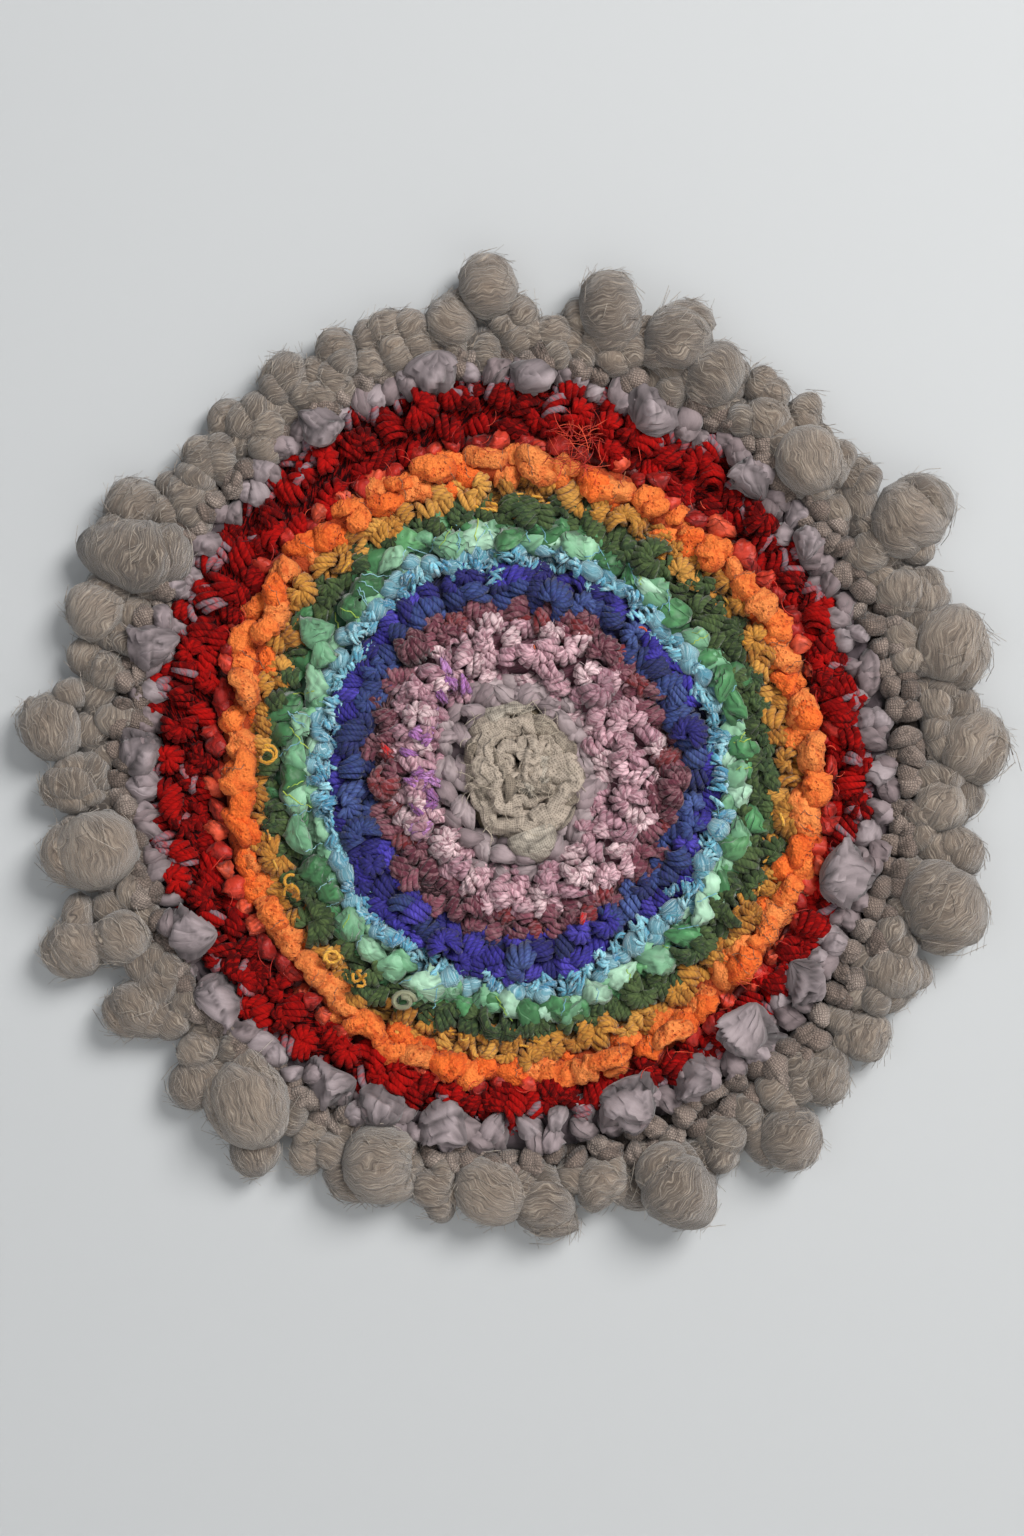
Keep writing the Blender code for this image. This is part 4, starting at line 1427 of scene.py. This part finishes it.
# the base is given a dark mauve: painted shade between the puffs
ground(cotton_puffs, tone=rgb(80, 70, 74), ropes=1)
cotton_ball = Ball(17, 11)
for shares, pitch in (((0.25,), 18), ((0.72,), 17)):
    for bearing, radius, share, top in spots(cotton_puffs, shares, pitch, stray=1.6):
        shape, maps, shade = folded(
            cotton_ball, rng, *sized(rng, (18, 27), (12, 17), (10, 13)),
            creases=3, depth=0.30, edge=1.3, fan=0.35, crisp=0.25, slant=1.8,
        )
        top = min(top, 24 * MM) + rng.uniform(-2, 1) * MM
        placed = lay(shape, bearing, radius, rng.uniform(-70, 70), top, 0.3 * (share - 0.5))
        cotton_puffs.add_ball(cotton_ball, placed, maps, picked(rng, COTTON_TONES, 0.06) * shade)
KNOTS = (
    # bearing, length, width, distance in from the round's middle
    (2, 27, 22, 1), (21, 33, 28, 0), (39, 24, 20, 2), (52, 20, 15, 0), (109, 34, 26, 6), (127, 26, 21, 4),
    (139, 32, 28, 8), (150, 28, 22, 6), (163, 33, 27, 6), (192, 30, 26, 4), (203, 27, 22, 8),
    (211, 28, 24, 2), (233, 27, 22, 2), (243, 30, 24, 10), (272, 27, 22, 0), (288, 30, 22, 0),
    (330, 26, 18, 0), (348, 30, 26, 2),
)
knot_ball = Ball(30, 18)
steps, inner, outer = edges_of("mauve_cotton_round")
for bearing, length, width, inwards in KNOTS:
    radius = np.interp(bearing, steps, (inner + outer) / 2, period=360) - inwards * MM
    shape, maps, shade = folded(
        knot_ball, rng, 1.15 * length * MM, 1.15 * width * MM, rng.uniform(20, 23) * MM,
        creases=6, depth=0.30, pinch=0.6, arch=0.10, edge=1.3, fan=0.32, crisp=0.24, slant=1.9,
    )
    lean = rng.choice([-1, 1]) * rng.uniform(0.3, 0.75)
    placed = lay(shape, bearing, radius, rng.uniform(-60, 60), rng.uniform(29, 32) * MM, lean)
    cotton_puffs.add_ball(knot_ball, placed, maps, COTTON_TONES[2] * rng.uniform(0.98, 1.10) * shade)
cotton_puffs.sew("cotton_puffs", cotton)


# Taupe knit round
# A strip of taupe towelling knit in nubbly lumps, worked in about two rows.
# The lumps stand on the base, tucked in between the cotton and the roving.

taupe = finish_of(
    "taupe knit", nubbly_knit,
    {
        "Stitches to a metre": 900.0, "Shade between": 0.2, "Rib width": 1.7, "Rib shade": 0.5,
        "Hole share": 0.0, "Crease scale": 70.0, "Crease depth": 0.5,
    },
    roughness=0.95, relief=0.6 * MM, sheen=0.2,
)
TAUPE_TONES = (rgb(170, 152, 141), rgb(156, 138, 127), rgb(184, 167, 156), rgb(146, 129, 119))
rng = np.random.default_rng(24)
taupe_lumps = Heap("taupe_knit_round", rng)
# the base is given a dark taupe: painted shade between the lumps
ground(taupe_lumps, tone=rgb(84, 74, 68), ropes=1)
taupe_ball = Ball(16, 9)
for bearing, radius, share, top in spots(taupe_lumps, (0.25, 0.78), pitch=14, stray=2.0):
    shape, maps, shade = folded(
        taupe_ball, rng, *sized(rng, (17, 24), (12, 17), (11, 14)), creases=3, depth=0.28,
        nubs=0.03,
    )
    top = min(top, 21 * MM) + rng.uniform(-1.5, 1.5) * MM
    placed = lay(shape, bearing, radius, rng.uniform(0, 180), top, 0.4 * (share - 0.5))
    taupe_lumps.add_ball(taupe_ball, placed, maps, picked(rng, TAUPE_TONES, 0.08) * shade)
taupe_lumps.sew("taupe_lumps", taupe)


# Grey roving border
# One thick strand of undyed wool roving, drawn through the edge in big soft puffs.
# Between the puffs it is pinched tight, and loose fibres stand off it all round.

PUFFS = (
    # bearing and distance of its middle, length, width, bearing of its long way
    (0, 277, 24, 23, 0), (4, 262, 32, 25, 80), (11, 284, 50, 40, 170), (15, 261, 30, 24, 110),
    (20, 279, 46, 40, 60), (26, 266, 43, 38, 40), (32, 277, 24, 22, 0), (35, 261, 32, 28, 0),
    (39, 275, 25, 22, 0), (43, 257, 46, 41, 160), (49, 270, 28, 22, 0), (57, 285, 50, 45, 90),
    (58, 256, 34, 28, 30), (65, 258, 35, 28, 60), (74, 274, 56, 38, 170), (81, 260, 30, 25, 10),
    (87, 276, 54, 36, 175), (95, 258, 37, 32, 0), (101, 276, 30, 26, 20), (108, 271, 59, 41, 10),
    (119, 259, 37, 32, 60), (128, 268, 31, 26, 0), (136, 264, 35, 30, 60), (144, 278, 44, 37, 80),
    (151, 258, 32, 27, 20), (160, 272, 48, 45, 80), (169, 257, 37, 28, 70), (177, 271, 40, 33, 90),
    (184, 257, 53, 35, 95), (192, 262, 31, 25, 80), (200, 257, 50, 46, 150), (202, 277, 32, 23, 90),
    (209, 270, 28, 23, 60), (215, 289, 37, 24, 110), (219, 264, 60, 49, 140), (226, 280, 35, 26, 0),
    (229, 262, 30, 26, 40), (238, 280, 38, 31, 150), (239, 260, 30, 26, 60), (247, 266, 38, 35, 0),
    (248, 295, 41, 33, 0), (259, 266, 55, 49, 45), (268, 275, 38, 29, 90), (275, 288, 45, 36, 0),
    (283, 264, 30, 26, 20), (290, 275, 39, 35, 30), (299, 268, 60, 48, 100), (304, 284, 37, 33, 60),
    (309, 262, 32, 27, 90), (314, 271, 29, 25, 30), (321, 273, 28, 24, 50), (323, 257, 28, 24, 60),
    (329, 281, 32, 28, 60), (334, 262, 28, 24, 50), (336, 279, 28, 24, 60), (343, 280, 32, 24, 80),
    (346, 265, 30, 25, 60), (351, 277, 37, 30, 150), (356, 294, 40, 38, 5),
)
roving = finish_of(
    "grey roving", loose_fibre,
    {"Light": rgb(178, 164, 148), "Dark": rgb(66, 54, 46), "Streaks": 0.9},
    roughness=0.98, relief=1.2 * MM, sheen=0.55, sheen_rough=0.6,
)
ROVING_TONES = (rgb(120, 105, 91), rgb(109, 95, 82), rgb(131, 116, 102), rgb(100, 87, 75))
HAIR_TONES = (rgb(188, 176, 161), rgb(164, 150, 136), rgb(144, 130, 117), rgb(112, 98, 87))


HAIR_THICKNESS = 0.34 * MM
HAIRS_FROM = 8 * MM       # fibres start no nearer to the wall than this
RIM_FROM = 262 * MM       # puffs further out than this have fibres that stand off the outline


def hairs_on(heap, placed, fibre, count, length, lift, thickness=HAIR_THICKNESS, steps=FIBRE_STEPS, rim=None):
    """Loose fibres that lie along a puff and lift off it at their ends.

    fibre is the way they run. rim is a direction, for fibres only on that side of the puff."""
    rng = heap.rng
    middle = placed.mean(axis=0)
    front = placed[placed[:, 1] < -HAIRS_FROM]
    if rim is not None:
        reach = (front - middle) @ rim
        front = front[reach > 0.4 * np.max(reach)]
    start = front[rng.integers(len(front), size=count)]
    off = start - middle
    radius = np.linalg.norm(off, axis=1, keepdims=True)
    off = off / radius
    way = fibre + rng.normal(0, 0.5, (count, 3))
    way -= off * (way * off).sum(1, keepdims=True)
    way /= np.linalg.norm(way, axis=1, keepdims=True)
    side = np.cross(off, way)
    long = length * rng.uniform(0.4, 1.2, (count, 1))
    share = np.linspace(-0.5, 0.5, steps)[None, :, None]
    bend = rng.uniform(-1.5, 1.5, (count, 1, 1)) * long[:, None]
    rise = 0.3 * MM + rng.uniform(0, 1, (count, 1, 1)) * lift * (share + 0.5) ** 2
    along = share * long[:, None]
    drop = along ** 2 / (2 * radius[:, None]) * 0.9
    path = start[:, None] + way[:, None] * along + side[:, None] * bend * share ** 2
    path = path + off[:, None] * (rise - drop)
    path[:, :, 1] = np.minimum(path[:, :, 1], BEHIND)
    points, corners, sizes, maps = tubes(path, thickness / 2, FIBRE_SIDES)
    tones = np.array(HAIR_TONES)[rng.integers(len(HAIR_TONES), size=count)]
    heap.add(points, corners, sizes, maps, np.repeat(tones, len(points) // count, axis=0))


def roving_puff(heap, hairs, ball, bearing, distance, length, width, lie, top, lobes, hair_count):
    """One puff of roving in a few lobes, its fibres running round the hanging from pinch to pinch.

    lie is the bearing of its length, and hair_count the number of loose fibres on each lobe."""
    rng = heap.rng
    b = math.radians(bearing)
    fibre_turn = 90 + rng.uniform(-32, 32)
    between = math.radians(lie - bearing - fibre_turn)
    long, wide = length / 2, width / 2
    reach = 2 * math.hypot(long * math.cos(between), wide * math.sin(between))
    girth = 2 * math.hypot(long * math.sin(between), wide * math.cos(between))
    out = np.array([math.sin(b), 0, math.cos(b)])
    side = np.array([math.cos(b), 0, -math.sin(b)])
    t = math.radians(fibre_turn)
    fibre = out * math.cos(t) + side * math.sin(t)
    for lobe in range(lobes):
        share = 1.0 if lobe == 0 else rng.uniform(0.45, 0.62)
        tall = top * share ** 0.35
        shape, maps = fleecy(
            ball, rng, reach * (0.7 + 0.3 * share), girth * share, tall * 0.96, ribs=0.04, arch=0.12,
        )
        if lobe:
            shape[:, 1] += (1 if lobe % 2 else -1) * girth * (0.5 - share / 2) * 1.15
            shape[:, 0] += rng.uniform(-0.12, 0.12) * reach
        placed = lay(shape, bearing, distance, fibre_turn, tall * rng.uniform(0.93, 1.03))
        # each lobe gets painted shade towards its base, over 0.6 of the puff's height
        heap.add_ball(ball, placed, maps, picked(rng, ROVING_TONES, 0.08), fade=0.6 * top)
        hairs_on(hairs, placed, fibre, hair_count, reach * 0.4, 4 * MM)
        hairs_on(hairs, placed, fibre, hair_count // 8, reach * 0.8, 5 * MM, 0.44 * MM, steps=5)
        if distance > RIM_FROM:
            hairs_on(hairs, placed, fibre, hair_count // 2, 12 * MM, 7 * MM, 0.24 * MM, rim=out)


rng = np.random.default_rng(25)
roving_puffs = Heap("grey_roving_border", rng)
roving_hairs = Heap("grey_roving_border", rng)
# the base is given a dark grey-brown: painted shade between the puffs
ground(roving_puffs, tone=rgb(70, 62, 55), ropes=2, outermost=0.55)
BIG_PUFF_HAIRS, SMALL_PUFF_HAIRS = 25, 8
big_ball, small_ball = Ball(20, 12), Ball(14, 9)
for bearing, distance, length, width, lie in PUFFS:
    lobes = 3 if width > 39 else 2 if width > 27 else 1
    top = min(0.86 * width + 1, 40) * MM
    roving_puff(
        roving_puffs, roving_hairs, big_ball, bearing, distance * MM, length * MM, width * MM, lie,
        top, lobes, BIG_PUFF_HAIRS,
    )
for bearing, radius, share, top in spots(roving_puffs, (0.10, 0.45, 0.80), pitch=21, stray=3.0):
    if top < 6 * MM and share > 0.7:
        continue
    top = rng.uniform(17, 24) * MM
    roving_puff(
        roving_puffs, roving_hairs, small_ball, bearing, radius, rng.uniform(23, 32) * MM,
        rng.uniform(18, 24) * MM, rng.uniform(0, 180), top, 1, SMALL_PUFF_HAIRS,
    )
roving_puffs.sew("roving_puffs", roving)
roving_hairs.sew("roving_hairs", roving, replaces=False)


# Wall, floor, light and camera
# A pale wall behind, a pale floor well below, and soft daylight from the upper right.

WALL_SIZE, FLOOR_SIZE = 6, 8
WALL_BEHIND = 1.5 * MM
FLOOR_DOWN = 1.3


def pale_plane(name, size, place, turn, colour):
    """A large plain plane, and its material."""
    bpy.ops.mesh.primitive_plane_add(size=size, location=place, rotation=turn)
    plane = bpy.context.object
    plane.name = name
    finish = bpy.data.materials.new(name)
    finish.use_nodes = True
    shader = finish.node_tree.nodes["Principled BSDF"]
    shader.inputs["Base Color"].default_value = (*colour, 1)
    shader.inputs["Roughness"].default_value = 0.9
    plane.data.materials.append(finish)
    return plane, finish


wall, wall_finish = pale_plane(
    "pale_wall", WALL_SIZE, (0, WALL_BEHIND, -0.3), (PI / 2, 0, 0), rgb(191, 194, 196),
)
wall.visible_shadow = False
# from behind the wall is clear, so that the back of the hanging can be seen
tree = wall_finish.node_tree
seen_from = node(tree, "ShaderNodeNewGeometry")
clear = node(tree, "ShaderNodeBsdfTransparent")
either = node(tree, "ShaderNodeMixShader")
sources = (seen_from.outputs["Backfacing"], tree.nodes["Principled BSDF"].outputs[0], clear.outputs[0])
for place, source in zip(either.inputs, sources):
    tree.links.new(source, place)
tree.links.new(either.outputs[0], tree.nodes["Material Output"].inputs[0])
pale_plane("pale_floor", FLOOR_SIZE, (0, 0, -FLOOR_DOWN), (0, 0, 0), rgb(225, 224, 222))

LIGHTS = (
    # name, place, diameter, power in watts, colour
    ("window", (1.8, -2.5, 1.5), 1.8, 142, (1.0, 0.98, 0.96)),
    ("room_fill", (-1.3, -1.9, -0.3), 2.0, 7, (0.95, 0.97, 1.0)),
    ("rear_fill", (0.4, 1.8, 0.6), 1.6, 22, (1, 1, 1)),
)
for name, place, size, power, colour in LIGHTS:
    bpy.ops.object.light_add(type="AREA", location=place)
    lamp = bpy.context.object
    lamp.name = name
    lamp.data.shape = "DISK"
    lamp.data.size = size
    lamp.data.energy = power
    lamp.data.color = colour
    away = Vector((0, 0, -CENTRE_DOWN)) - Vector(place)
    lamp.rotation_euler = away.to_track_quat("-Z", "Y").to_euler()
ROOM_LIGHT = 0.19
world = bpy.data.worlds.new("pale room")
world.use_nodes = True
background = world.node_tree.nodes["Background"].inputs
background["Color"].default_value = (0.86, 0.89, 0.92, 1)
background["Strength"].default_value = ROOM_LIGHT
bpy.context.scene.world = world
bpy.context.scene.view_settings.view_transform = "Standard"

PHOTO_HEIGHT = 937 * MM   # what the frame's height spans at the face of the rounds
LENS, SENSOR = 50, 36
FACE = 18 * MM            # the face of the rounds lies this far off the wall
AIM_LEFT = 6 * MM         # the photo's middle lies this far left of the middle of the rounds
distance = PHOTO_HEIGHT * LENS / SENSOR + FACE
bpy.ops.object.camera_add(location=(-AIM_LEFT, -distance, -CENTRE_DOWN), rotation=(PI / 2, 0, 0))
camera = bpy.context.object
camera.data.lens = LENS
camera.data.sensor_width = SENSOR
bpy.context.scene.camera = camera
